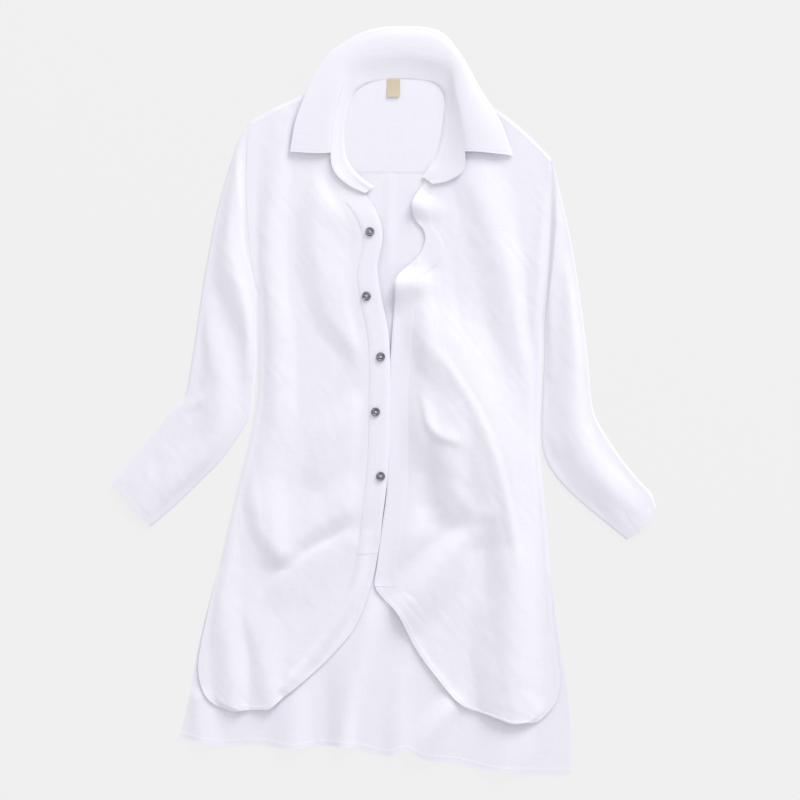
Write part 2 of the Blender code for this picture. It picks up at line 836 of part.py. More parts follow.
def yoke_sheet():
    """Upper back between the yoke seam and the shoulders."""
    up = np.linspace(0, 1, YOKE_ROWS + 1)[:, None]
    across = np.linspace(0, 1, YOKE_COLUMNS + 1)[None, :]
    edge_x = YOKE_TOP_EDGE[0].x + across * (YOKE_TOP_EDGE[-1].x - YOKE_TOP_EDGE[0].x)
    edge_y = smooth_curve(edge_x, [p.x for p in YOKE_TOP_EDGE], [p.y for p in YOKE_TOP_EDGE])
    low_y = YOKE_SEAM_Y + SEAM_GAP
    y = low_y + up * (edge_y - low_y)
    x = left_side_x(y) + across * (right_side_x(y) - left_side_x(y))
    x = x + eased(up) * (edge_x - x)
    lower = raised(x, y, 0 * y)
    return sheet_solid(lower, lower + (0, 0, WALL))


# Fronts
def front_grid(table, side, inward, bow):
    """Places of a front's points, with their distance from its side and its front edge."""
    levels = front_levels(table)
    side_y, inset, edge_x, edge_y = through_sections(table, levels)
    side_point = np.stack([side(side_y) + inward * inset, side_y], axis=-1)
    run = np.stack([edge_x, edge_y], axis=-1) - side_point
    length = np.linalg.norm(run, axis=-1)[:, None]
    band = 1 - PLACKET_WIDTH / length
    body = np.linspace(0, 1, FRONT_COLUMNS + 1)[None, :] * band
    share = np.concatenate([body, (1 + band) / 2, np.ones_like(band)], axis=1)
    x = side_point[:, :1] + run[:, :1] * share
    y = side_point[:, 1:] + run[:, 1:] * share
    y += bow * 4 * share * (1 - share) * (1 - eased(levels / SHOULDER_SECTIONS))[:, None]
    return x, y, share * length, (1 - share) * length


def lap_lift(y, from_edge):
    """How far the left front is lifted where it laps over the right one."""
    near_edge = 1 - eased((from_edge - PLACKET_WIDTH) / LAP_RAMP)
    below_neck = eased((LAP_NECK_Y - y) / LAP_NECK_RUN)
    above_hem = eased((y - LAP_HEM_Y) / LAP_HEM_RUN)
    return LAP_LIFT * near_edge * below_neck * above_hem


def covered_rise(x, y):
    """How far a front is lifted by the ridges of the back that it lies over, a little wider than they are."""
    tail = TAIL_LIFT * eased((TAIL_Y - y) / TAIL_RUN)
    return COVERED_MARGIN * ridged(BACK_RIDGES, x, y, COVERED_SPREAD) + tail


def left_front_lower():
    """Underside of the left front. Its ridges end at the placket, which lies over the right front."""
    x, y, from_side, from_edge = front_grid(LEFT_FRONT, left_side_x, 1, LEFT_SHOULDER_BOW)
    kept = eased(from_side / SIDE_FADE) * eased((from_edge - PLACKET_WIDTH) / PLACKET_FADE)
    tail = 1 - eased((y - LAP_HEM_Y) / LAP_HEM_RUN)
    kept = np.maximum(kept, tail * eased(from_side / SIDE_FADE))
    z = FRONT_FLOOR + kept * ridged(LEFT_FRONT_RIDGES, x, y) + lap_lift(y, from_edge)
    return raised(x, y, z + covered_rise(x, y))


def right_front_lower():
    """Underside of the right front, pulled open above and covered by the left front's edge below."""
    x, y, from_side, from_edge = front_grid(RIGHT_FRONT, right_side_x, -1, RIGHT_SHOULDER_BOW)
    free = eased((y - FREE_EDGE_Y) / FREE_EDGE_RUN) + eased((FREE_HEM_Y - y) / FREE_HEM_RUN)
    kept = eased(from_side / SIDE_FADE) * np.maximum(free, eased((from_edge - FREE_EDGE_FLAT) / EDGE_FADE))
    z = FRONT_FLOOR + kept * ridged(RIGHT_FRONT_RIDGES, x, y)
    return raised(x, y, z + covered_rise(x, y))


def upper_side(lower):
    return lower + WALL * normals(lower)


def placket(upper, table, span):
    """Sewn band: the panel's own points along its front edge, moved out by the seam gap."""
    first, last = np.searchsorted(front_levels(table), span)
    out = normals(upper)
    band = (slice(first, last + 1), slice(-3, None))
    return sheet_solid((upper + SEAM_GAP * out)[band], (upper + (SEAM_GAP + WALL) * out)[band])


# Sleeves
def sleeve_top(table, x, y, share):
    """Height of a sleeve's upper side: a low loft with the ridges on it."""
    loft = SLEEVE_LOFT * np.sin(np.pi * share) ** SLEEVE_FULLNESS
    kept = eased(SLEEVE_RIDGE_RUN * share * (1 - share))
    return SLEEVE_EDGE_HEIGHT + loft + kept * ridged(table, x, y)


def sleeve_ring(sections, ridges, outward, inset):
    """Rings round the flattened sleeve, drawn in by the inset."""
    outer_x, outer_y, inner_x, inner_y, bow = through_sections(sections)
    run_x = (inner_x - outer_x)[:, None]
    run_y = (inner_y - outer_y)[:, None]
    length = np.hypot(run_x, run_y)
    share = np.linspace(0, 1, SLEEVE_ACROSS + 1)[None, :]
    share = inset / length + share * (1 - 2 * inset / length)
    swell = 4 * share * (1 - share) * bow[:, None]
    x = outer_x[:, None] + run_x * share - outward * swell * run_y / length + outward * SEAM_GAP
    y = outer_y[:, None] + run_y * share + outward * swell * run_x / length
    top = raised(x, y, sleeve_top(ridges, x, y, share) - inset)
    bottom = raised(x, y, np.full(x.shape, float(inset)))
    return np.concatenate([top, bottom[:, ::-1]], axis=1)


def sleeve(sections, ridges, outward):
    """Flattened sleeve, a tube that is open at the armhole and at the cuff."""
    return tube_solid(sleeve_ring(sections, ridges, outward, 0), sleeve_ring(sections, ridges, outward, WALL))


# Collar
def collar_rows():
    """Middle surface of the collar as lines from the neck seam up, one for each mesh step."""
    seam_x, seam_y, lies_on, top_x, top_y, top_z = through_sections(COLLAR_STAND)
    seam = raised(seam_x, seam_y, lies_on + COLLAR_SEAT)
    top = raised(top_x, top_y, top_z)
    roll_x, roll_y, roll_z, edge_x, edge_y, edge_z = through_sections(COLLAR_LEAF)
    return seam, top, raised(roll_x, roll_y, roll_z), raised(edge_x, edge_y, edge_z)


def collar_stand(seam, top):
    """Band round the neck with a free tab at each end."""
    share = np.linspace(0, 1, STAND_STEPS + 1)[None, :, None]
    middle = seam[:, None] + share * (top - seam)[:, None]
    out = normals(middle)
    return sheet_solid(middle - COLLAR_WALL / 2 * out, middle + COLLAR_WALL / 2 * out)


def collar_leaf(top, roll, edge, fronts):
    """Leaf that opens back behind the neck and turns over in a wing at each side."""
    first = LEAF_FIRST_STAND * STEPS_PER_SECTION
    start = top[first : first + len(roll)]
    towards = roll - start
    towards /= np.linalg.norm(towards, axis=-1, keepdims=True)
    start = start + LEAF_GAP * towards
    share = np.linspace(0, 1, LEAF_STEPS + 1)
    middle = np.array([smooth_curve(share, (0, ROLL_SHARE, 1), line) for line in zip(start, roll, edge)])
    past_roll = np.clip((share - ROLL_SHARE) / (1 - ROLL_SHARE), 0, 1)[None, :]
    crowned = roll[:, None, 2] + past_roll**LEAF_CROWN * (edge - roll)[:, None, 2]
    middle[..., 2] = np.where(share > ROLL_SHARE, crowned, middle[..., 2])
    for front in fronts:
        middle[..., 2] = np.maximum(middle[..., 2], above(front, middle) + LEAF_CLEARANCE)
    out = normals(middle)
    return sheet_solid(middle - COLLAR_WALL / 2 * out, middle + COLLAR_WALL / 2 * out)


def above(surface, points):
    """Height of the highest nearby point of a surface under each of the points, or the table."""
    spots = surface.reshape(-1, 3)
    gaps = np.linalg.norm(points[..., None, :2] - spots[:, :2], axis=-1)
    near = np.where(gaps < LEAF_NEAR_RADIUS, spots[:, 2], 0)
    return near.max(axis=-1)


# Trims
def label_sheet():
    """Blank label that hangs from the neck seam over the yoke, its free end slightly curled."""
    down = np.linspace(0, 1, LABEL_ROWS + 1)[:, None]
    across = np.linspace(-0.5, 0.5, LABEL_COLUMNS + 1)[None, :]
    x = LABEL_X + LABEL_WIDTH * across + 0 * down
    y = LABEL_TOP_Y - LABEL_LENGTH * down + 0 * across
    z = BACK_TOP + SEAM_GAP + LABEL_CURL * down**3 + 0 * across
    lower = raised(x, y, z)
    return sheet_solid(lower, lower + (0, 0, LABEL_WALL))


def button_disc():
    """Round button with a raised rim and a dished middle."""
    return turned_solid(
        (
            (0, 0),
            (BUTTON_RADIUS - 1.3, 0),
            (BUTTON_RADIUS, 0.4 * BUTTON_HEIGHT),
            (BUTTON_RADIUS - 0.2, 0.8 * BUTTON_HEIGHT),
            (BUTTON_RADIUS - 1.2, BUTTON_HEIGHT),
            (BUTTON_RADIUS - 2.2, 0.7 * BUTTON_HEIGHT),
            (0, 0.65 * BUTTON_HEIGHT),
        ),
        BUTTON_SIDES,
    )


# Objects
def linear(channel):
    return channel / 12.92 if channel <= 0.04045 else ((channel + 0.055) / 1.055) ** 2.4


def finish(name, colour, roughness):
    """Principled material with the colour given as sRGB hex."""
    material = bpy.data.materials.new(name)
    material.use_nodes = True
    shader = material.node_tree.nodes["Principled BSDF"]
    red, green, blue = (linear(int(colour[at : at + 2], 16) / 255) for at in (0, 2, 4))
    shader.inputs["Base Color"].default_value = (red, green, blue, 1)
    shader.inputs["Roughness"].default_value = roughness
    shader.inputs["Metallic"].default_value = 0
    return material


def add_piece(name, solid, colour, roughness, place=(0, 0, 0)):
    """Adds one named solid at its place, both in millimetres."""
    points, faces = solid
    mesh = bpy.data.meshes.new(name)
    mesh.from_pydata((points * MM).tolist(), [], [tuple(int(n) for n in face) for face in faces])
    mesh.shade_smooth()
    mesh.set_sharp_from_angle(angle=np.radians(40))
    mesh.materials.append(finish(name, colour, roughness))
    piece = bpy.data.objects.new(name, mesh)
    piece.location = [MM * value for value in place]
    bpy.context.scene.collection.objects.link(piece)


def add_cloth(name, solid):
    add_piece(name, solid, LINEN_WHITE, 0.9)


def build_dress():
    """Adds every piece of the dress."""
    left_upper = upper_side(left_front_lower())
    right_upper = upper_side(right_front_lower())
    seam, top, roll, edge = collar_rows()
    add_cloth("back_panel", back_sheet())
    add_cloth("back_yoke", yoke_sheet())
    add_cloth("left_front", sheet_solid(left_front_lower(), left_upper))
    add_cloth("right_front", sheet_solid(right_front_lower(), right_upper))
    add_cloth("left_placket", placket(left_upper, LEFT_FRONT, LEFT_PLACKET_SPAN))
    add_cloth("right_placket", placket(right_upper, RIGHT_FRONT, RIGHT_PLACKET_SPAN))
    add_cloth("left_sleeve", sleeve(LEFT_SLEEVE, LEFT_SLEEVE_RIDGES, -1))
    add_cloth("right_sleeve", sleeve(RIGHT_SLEEVE, RIGHT_SLEEVE_RIDGES, 1))
    add_cloth("collar_stand", collar_stand(seam, top))
    add_cloth("collar_leaf", collar_leaf(top, roll, edge, (left_upper, right_upper)))
    add_piece("neck_label", label_sheet(), LABEL_BEIGE, 0.8)
    button_z = PLACKET_TOP + LAP_LIFT + BUTTON_SEAT
    for number, place in enumerate(BUTTON_PLACES, 1):
        add_piece(f"button_{number}", button_disc(), BUTTON_GREY, 0.4, (place.x, place.y, button_z))


for old in list(bpy.data.objects):
    bpy.data.objects.remove(old)
build_dress()
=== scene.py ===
"""Looks of a linen shirt dress that lies flat on its back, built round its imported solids.

Sizes and places are in millimetres, in the frame of the solids: +Y runs towards the collar and +Z
faces the onlooker. Left and right are the sides seen from above. Meshes are made in metres.
"""

import logging
import math
from dataclasses import dataclass
from enum import Enum
from typing import NamedTuple

import bmesh
import bpy
import numpy as np
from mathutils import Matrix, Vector


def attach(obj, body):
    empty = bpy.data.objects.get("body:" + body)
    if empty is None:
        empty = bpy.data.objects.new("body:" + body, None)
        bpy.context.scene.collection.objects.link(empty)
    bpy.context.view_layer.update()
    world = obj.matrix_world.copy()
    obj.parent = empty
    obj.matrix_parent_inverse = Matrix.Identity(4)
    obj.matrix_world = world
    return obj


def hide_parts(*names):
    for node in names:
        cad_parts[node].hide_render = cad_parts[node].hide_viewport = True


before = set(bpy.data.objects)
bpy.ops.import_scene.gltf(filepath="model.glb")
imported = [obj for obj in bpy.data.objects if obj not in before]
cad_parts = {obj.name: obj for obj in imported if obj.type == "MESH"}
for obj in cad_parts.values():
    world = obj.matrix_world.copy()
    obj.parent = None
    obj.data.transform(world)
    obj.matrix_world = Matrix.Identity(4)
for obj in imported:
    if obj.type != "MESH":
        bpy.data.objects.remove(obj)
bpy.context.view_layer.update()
LOG = logging.getLogger("dress")
Array = np.ndarray
BODY = "root"

# Units
MM = 0.001
TINY = 0.001

# A band pattern turns once for each 2 pi / 20 of its scaled coordinate
BAND_TURN = 2 * math.pi / 20

# Edges that turn further than this are shaded sharp
CLOTH_EDGE_ANGLE = math.radians(50)
BUTTON_EDGE_ANGLE = math.radians(35)

# Heights of the solids that the cloth lies on
SEAM_GAP = 0.4
FRONT_FLOOR = 1.6
FRONT_TOP = 2.8
PLACKET_TOP = 4.4

# Cloth: one ply of linen, and the sewn doubles
PLY = 0.8
SEWN_GAP = 0.2
BACK_TOP = PLY
PLACKET_PLY = 0.9
PLACKET_EDGE_PLY = 0.25
COLLAR_PLY = 1.1
HEM_WIDTH = 8
HEM_STEP = 1.5
HEM_RISE = 0.35
BACK_HEM_RISE = 0.2
YOKE_RISE = 0.3
YOKE_SWELL = 0.3
YOKE_SWELL_RUN = 12

# Distance of each row of stitches from its edge
EDGE_STITCH = 2.0
PLACKET_STITCH = 2.2
LEAF_STITCH = 5.0
HEM_STITCH = HEM_WIDTH - 1.6
SEAM_STITCH = 7
CUFF_STITCH = 12

# Distances of the lines of points that lie close together beside a seam and where a hem is folded
NEAR_SEAM = (0, 1, 2.5, 4)
NEAR_HEM = (HEM_WIDTH + HEM_STEP, HEM_WIDTH, HEM_WIDTH - 1, 4, 1, 0)

# Front opening: the left front laps over the right one
PLACKET_WIDTH = 29
PLACKET_COLUMNS = (PLACKET_WIDTH, 28, 25, 21, 17, 13, *NEAR_HEM[:4], 2, 1, 0)
PLACKET_EDGE_RUN = 4
PLACKET_END_RUN = 30
PLACKET_FOLD = 0.5
PLACKET_FOLD_RUN = 2
LAP_LIFT = 3.5
LAP_RAMP = 50
LAP_NECK_Y = 300
LAP_NECK_RUN = 55
LAP_HEM_Y = -215
LAP_HEM_RUN = 90
LAP_DROOP = 1.2
LAP_DROOP_RUN = 6

# Body
YOKE_SEAM_Y = 319
SIDE_FADE = 16
EDGE_FADE = 45
PLACKET_FADE = 26
FREE_EDGE_FLAT = 8
FREE_EDGE_Y = 110
FREE_EDGE_RUN = 60
FREE_HEM_Y = -240
FREE_HEM_RUN = 40
TAIL_LIFT = 0.8
TAIL_Y = -340
TAIL_RUN = 60
SLIT_Y = -275
SLIT_RUN = 40
SLIT_FREE = 60
SEAM_TURN = 5
SEAM_RUN = 20
SEAM_REST = 0.1

# Back: it shows past the hem of the fronts and in the neck, and its creases are faint
SHOWN_HEM_Y = -250
SHOWN_HEM_RUN = 80
SHOWN_NECK_Y = 180
SHOWN_NECK_RUN = 60
BACK_CREASE = 0.3
BACK_CREASE_SHIFT = 400
BACK_BLEND = 0.2

# Folds: steps between two points of a crest, scale of all rises, and how roundly folds join and end
STEPS_PER_POINT = 6
RELIEF = 1.4
RIDGE_JOIN = 1.5
FOLD_BLEND = 0.6

# Sleeves
SLEEVE_EDGE_HEIGHT = 3.8
UNDERARM_EASE = 1.4
SLEEVE_LOFT = 2.0
SLEEVE_FULLNESS = 0.7
SLEEVE_RIDGE_RUN = 5
SLEEVE_HEAD_RUN = 26
SLEEVE_CROWDING = 0.65
SLEEVE_CREASE_SHIFT = (200, 90)

# Collar
ROLL_SHARE = 0.2
LEAF_START = 0.1
LEAF_CLEARANCE = 0.8
LEAF_SETTLE = 0.2
LEAF_BLEND = 1.0
LEAF_CROWN = 2.2
STAND_HOLLOW = 0.6
NECK_COVER = 5.0
NECK_COVER_LEAST = 0.1

# Buttons and label
BUTTON_RADIUS = 6.3
BUTTON_HEIGHT = 2.4
BUTTON_SEAT = 0.5
BUTTON_DISH = 0.65
THREAD_STEPS = 4
LABEL_WIDTH = 18
LABEL_LENGTH = 26
LABEL_PLY = 0.5
LABEL_GAP = 1.0
LABEL_CURL = 1.5
LABEL_X = 14
LABEL_TOP_Y = 451.5


class Armhole(NamedTuple):
    """Seam between body and sleeve, from the shoulder down, bowed outwards at its middle."""

    shoulder_x: float
    shoulder_y: float
    underarm_x: float
    underarm_y: float
    bow: float


class SidePoint(NamedTuple):
    """One point of the body's side edge, below the armhole."""

    y: float
    x: float


class FrontSection(NamedTuple):
    """One line of cloth across a front, from the side edge to the front edge."""

    side_y: float
    side_inset: float
    edge_x: float
    edge_y: float


class SleeveSection(NamedTuple):
    """One line across a sleeve, from its outer edge to its inner edge, bowed towards the cuff."""

    outer_x: float
    outer_y: float
    inner_x: float
    inner_y: float
    bow: float


class EdgePoint(NamedTuple):
    """One point of an edge that runs from left to right."""

    x: float
    y: float


class RidgePoint(NamedTuple):
    """One point of a crest, walked towards the collar, with its width to each hand and its rise."""

    x: float
    y: float
    left: float
    right: float
    rise: float


Ridges = tuple[tuple[RidgePoint, ...], ...]


def ridge(*rows: tuple[float, ...]) -> tuple[RidgePoint, ...]:
    """One ridge or trough, from rows of x, y, width to the left, width to the right and rise."""
    return tuple(RidgePoint(*row) for row in rows)


class StandSection(NamedTuple):
    """One upright line of the collar stand: its seam, what the seam lies on, and its top."""

    seam_x: float
    seam_y: float
    lies_on: float
    top_x: float
    top_y: float
    top_z: float


class LeafSection(NamedTuple):
    """One line of the collar leaf above the stand: where it rolls over and where it ends."""

    roll_x: float
    roll_y: float
    roll_z: float
    edge_x: float
    edge_y: float
    edge_z: float


class ProfilePoint(NamedTuple):
    """One point of the button's turned outline: how far in from the rim, and its share of the height."""

    inset: float
    height: float


class Side(Enum):
    """Side of the dress, seen from above, with the sign of its outward direction."""

    LEFT = -1
    RIGHT = 1


ARMHOLES = {
    Side.LEFT: Armhole(-188, 390, -176, 150, 9),
    Side.RIGHT: Armhole(236, 338, 224, 110, 3),
}

LEFT_SIDE = (
    SidePoint(150, -176),
    SidePoint(80, -176),
    SidePoint(0, -178),
    SidePoint(-60, -189),
    SidePoint(-115, -203),
    SidePoint(-170, -216),
    SidePoint(-230, -230),
    SidePoint(-290, -246),
    SidePoint(-350, -261),
    SidePoint(-410, -271),
    SidePoint(-472, -286),
)

RIGHT_SIDE = (
    SidePoint(110, 224),
    SidePoint(50, 222),
    SidePoint(0, 220),
    SidePoint(-60, 219),
    SidePoint(-115, 223),
    SidePoint(-170, 229),
    SidePoint(-230, 233),
    SidePoint(-300, 241),
    SidePoint(-350, 249),
    SidePoint(-400, 257),
    SidePoint(-450, 262),
    SidePoint(-524, 263),
)

SIDE_SEAMS = {Side.LEFT: LEFT_SIDE, Side.RIGHT: RIGHT_SIDE}

LEFT_FRONT = (
    FrontSection(390, 0, -44, 449),
    FrontSection(352, 0, -50, 405),
    FrontSection(310, 0, -55, 365),
    FrontSection(272, 0, -53, 335),
    FrontSection(242, 0, -43, 312),
    FrontSection(216, 0, -28, 292),
    FrontSection(192, 0, -11, 267),
    FrontSection(168, 0, -1, 232),
    FrontSection(140, 0, -8, 190),
    FrontSection(112, 0, -5, 155),
    FrontSection(78, 0, 6, 99),
    FrontSection(40, 0, 9, 57),
    FrontSection(0, 0, 9, 0),
    FrontSection(-55, 0, 8, -55),
    FrontSection(-112, 0, 5, -111),
    FrontSection(-165, 0, -1, -160),
    FrontSection(-225, 0, -7, -211),
    FrontSection(-282, 1, -20, -268),
    FrontSection(-335, 3, -40, -318),
    FrontSection(-378, 6, -74, -359),
    FrontSection(-408, 18, -108, -390),
    FrontSection(-425, 36, -140, -416),
    FrontSection(-435, 62, -159, -432),
)

RIGHT_FRONT = (
    FrontSection(338, 0, 87, 446),
    FrontSection(302, 0, 89, 404),
    FrontSection(270, 0, 85, 365),
    FrontSection(247, 0, 74, 338),
    FrontSection(228, 0, 62, 317),
    FrontSection(210, 0, 51, 297),
    FrontSection(192, 0, 40, 277),
    FrontSection(175, 0, 44, 254),
    FrontSection(161, 0, 55, 240),
    FrontSection(149, 0, 58, 224),
    FrontSection(137, 0, 47, 200),
    FrontSection(122, 0, 19, 173),
    FrontSection(102, 0, 16, 143),
    FrontSection(60, 0, 11, 78),
    FrontSection(0, 0, 6, 0),
    FrontSection(-65, 0, 6, -62),
    FrontSection(-125, 0, 4.5, -125),
    FrontSection(-181, 0, -2.5, -181),
    FrontSection(-232, 0, -9.5, -234),
    FrontSection(-264, 0, -12, -260),
    FrontSection(-294, 3, 1, -279),
    FrontSection(-322, 4, 20, -299),
    FrontSection(-356, 6, 43, -344),
    FrontSection(-391, 8, 71, -384),
    FrontSection(-420, 17, 107, -425),
    FrontSection(-437, 30, 143, -439),
    FrontSection(-450, 46, 180, -452),
)

LEFT_SHOULDER_BOW = 7
RIGHT_SHOULDER_BOW = 14

# Sections over which the bowed shoulder line straightens out
SHOULDER_SECTIONS = 4

# First and last section that each placket lies on
LEFT_PLACKET_SPAN = (5, 16)
RIGHT_PLACKET_SPAN = (5, 19)

YOKE_TOP_EDGE = (
    EdgePoint(-188, 390),
    EdgePoint(-160, 408),
    EdgePoint(-120, 424),
    EdgePoint(-80, 437),
    EdgePoint(-44, 449),
    EdgePoint(-20, 450),
    EdgePoint(24, 452),
    EdgePoint(65, 450),
    EdgePoint(87, 446),
    EdgePoint(120, 436),
    EdgePoint(160, 407),
    EdgePoint(205, 372),
    EdgePoint(236, 338),
)

BACK_HEM = (
    EdgePoint(-286, -472),
    EdgePoint(-230, -484),
    EdgePoint(-170, -482),
    EdgePoint(-125, -489),
    EdgePoint(-90, -484),
    EdgePoint(-33, -489),
    EdgePoint(12, -498),
    EdgePoint(32, -492),
    EdgePoint(58, -502),
    EdgePoint(107, -509),
    EdgePoint(150, -519),
    EdgePoint(205, -524),
    EdgePoint(263, -524),
)

LEFT_SLEEVE = (
    SleeveSection(-188, 390, -176 - UNDERARM_EASE, 150, 9),
    SleeveSection(-204, 362, -178, 138, 8),
    SleeveSection(-218, 320, -178, 122, 5),
    SleeveSection(-232, 270, -178, 102, 2),
    SleeveSection(-244, 213, -178, 80, 0),
    SleeveSection(-254, 155, -178, 56, 0),
    SleeveSection(-263, 92, -180, 31, 0),
    SleeveSection(-271, 42, -182, 5, 0),
    SleeveSection(-278, 8, -186, -21, 0),
    SleeveSection(-297, -14, -201, -47, 0),
    SleeveSection(-319, -41, -225, -81, 0),
    SleeveSection(-341, -68, -254, -111, 0),
    SleeveSection(-363, -95, -289, -145, 1),
    SleeveSection(-381, -116, -326, -177, 2),
)

RIGHT_SLEEVE = (
    SleeveSection(236, 338, 224 + UNDERARM_EASE, 110, 3),
    SleeveSection(247, 292, 225, 96, 3),
    SleeveSection(257, 250, 225, 80, 2),
    SleeveSection(267, 198, 225, 62, 0),
    SleeveSection(275, 145, 224, 42, 0),
    SleeveSection(282, 92, 223, 20, 0),
    SleeveSection(287, 48, 222, -6, 0),
    SleeveSection(290, 10, 221, -34, 0),
    SleeveSection(297, -23, 222, -64, 0),
    SleeveSection(312, -50, 230, -90, 0),
    SleeveSection(332, -80, 247, -114, 0),
    SleeveSection(356, -110, 272, -139, 2),
    SleeveSection(374, -129, 304, -166, 4),
    SleeveSection(381, -148, 340, -195, 7),
)

COLLAR_STAND = (
    StandSection(-17, 297, PLACKET_TOP, -26, 290, 6),
    StandSection(-36, 311, PLACKET_TOP, -50, 302, 7),
    StandSection(-52, 331, FRONT_TOP, -69, 321, 8),
    StandSection(-58, 355, FRONT_TOP, -74, 347, 8.5),
    StandSection(-57, 390, FRONT_TOP, -70, 391, 8.5),
    StandSection(-50, 421, FRONT_TOP, -60, 431, 8.5),
    StandSection(-38, 440, FRONT_TOP, -46, 464, 7.5),
    StandSection(-11, 449, BACK_TOP, -13, 477, 7),
    StandSection(26, 452, BACK_TOP, 26, 481, 7.5),
    StandSection(62, 449, BACK_TOP, 65, 477, 8.5),
    StandSection(83, 441, FRONT_TOP, 94, 464, 10.5),
    StandSection(90, 421, FRONT_TOP, 101, 431, 13),
    StandSection(88, 388, FRONT_TOP, 109, 393, 14),
    StandSection(82, 355, FRONT_TOP, 114, 348, 12),
    StandSection(73, 334, FRONT_TOP, 112, 322, 10.5),
    StandSection(65, 320, PLACKET_TOP, 92, 308, 7.5),
    StandSection(58, 311, PLACKET_TOP, 69, 303, 6.5),
)

# The leaf begins beside this section of the stand
LEAF_FIRST_STAND = 3
COLLAR_LEAF = (
    LeafSection(-82, 346, 9, -131, 348, 9.5),
    LeafSection(-77, 391, 9.5, -123, 391, 10),
    LeafSection(-67, 434, 9.5, -107, 433, 9),
    LeafSection(-54, 472, 8.5, -81, 481, 6.5),
    LeafSection(-17, 491, 8, -29, 516, 5),
    LeafSection(25, 495, 8.5, 25, 524.5, 4),
    LeafSection(69, 491, 9.5, 79, 517, 5),
    LeafSection(100, 470, 11.5, 111, 480, 7),
    LeafSection(109, 434, 14, 137, 434, 8),
    LeafSection(118, 394, 14.5, 163, 393, 6.5),
    LeafSection(124, 348, 13, 182, 343, 5),
)

# Ridges of the left front. A trough has a negative rise.
LEFT_FRONT_RIDGES = (
    ridge(
        (-143, -216, 24, 40, 5.0), (-163, -188, 26, 60, 5.5), (-176, -150, 24, 60, 5.0),
        (-178, -112, 22, 55, 3.5), (-166, -78, 24, 40, 3.0), (-152, -35, 28, 34, 3.5),
        (-150, 40, 28, 34, 4.5), (-152, 120, 26, 34, 4.5), (-159, 180, 24, 34, 3.5),
        (-161, 240, 20, 34, 3.5), (-152, 300, 26, 26, 3.5), (-143, 350, 34, 22, 3.0),
        (-136, 395, 36, 20, 1.5),
    ),
    ridge(
        (-26, 48, 26, 24, 0.5), (-44, 78, 30, 30, 3.0), (-70, 118, 36, 44, 4.5),
        (-84, 165, 38, 56, 5.0), (-94, 215, 36, 60, 5.0), (-93, 262, 34, 56, 4.5),
        (-84, 305, 36, 40, 3.0), (-80, 335, 30, 26, 1.0),
    ),
    ridge(
        (-98, -128, 30, 50, 2.0), (-88, -96, 32, 56, 5.0), (-68, -50, 34, 56, 5.5),
        (-42, -14, 32, 40, 4.0), (-24, 10, 26, 26, 1.0),
    ),
    ridge(
        (-146, -214, 50, 26, 4.5), (-112, -186, 70, 28, 5.0), (-70, -162, 70, 28, 5.0),
        (-34, -140, 56, 26, 4.0), (-6, -112, 40, 18, 2.0),
    ),
    ridge(
        (-164, -288, 24, 50, 0.5), (-140, -250, 20, 70, 3.0), (-100, -222, 20, 70, 3.0),
        (-56, -198, 18, 50, 2.0),
    ),
    ridge(
        (-212, -445, 34, 26, 5.0), (-214, -380, 34, 30, 5.0), (-221, -320, 32, 36, 4.5),
        (-228, -262, 20, 34, 3.5), (-222, -205, 18, 30, 2.5), (-210, -160, 16, 24, 0.5),
    ),
    ridge(
        (-156, -440, 36, 24, 4.5), (-162, -400, 34, 26, 4.5), (-170, -356, 26, 40, 3.5),
        (-184, -318, 18, 50, 2.2), (-203, -276, 14, 50, 0.5),
    ),
    ridge(
        (-136, -402, 12, 16, 2.5), (-88, -344, 12, 16, 3.5), (-42, -268, 12, 16, 3.5),
        (-24, -190, 12, 16, 1.5),
    ),
)

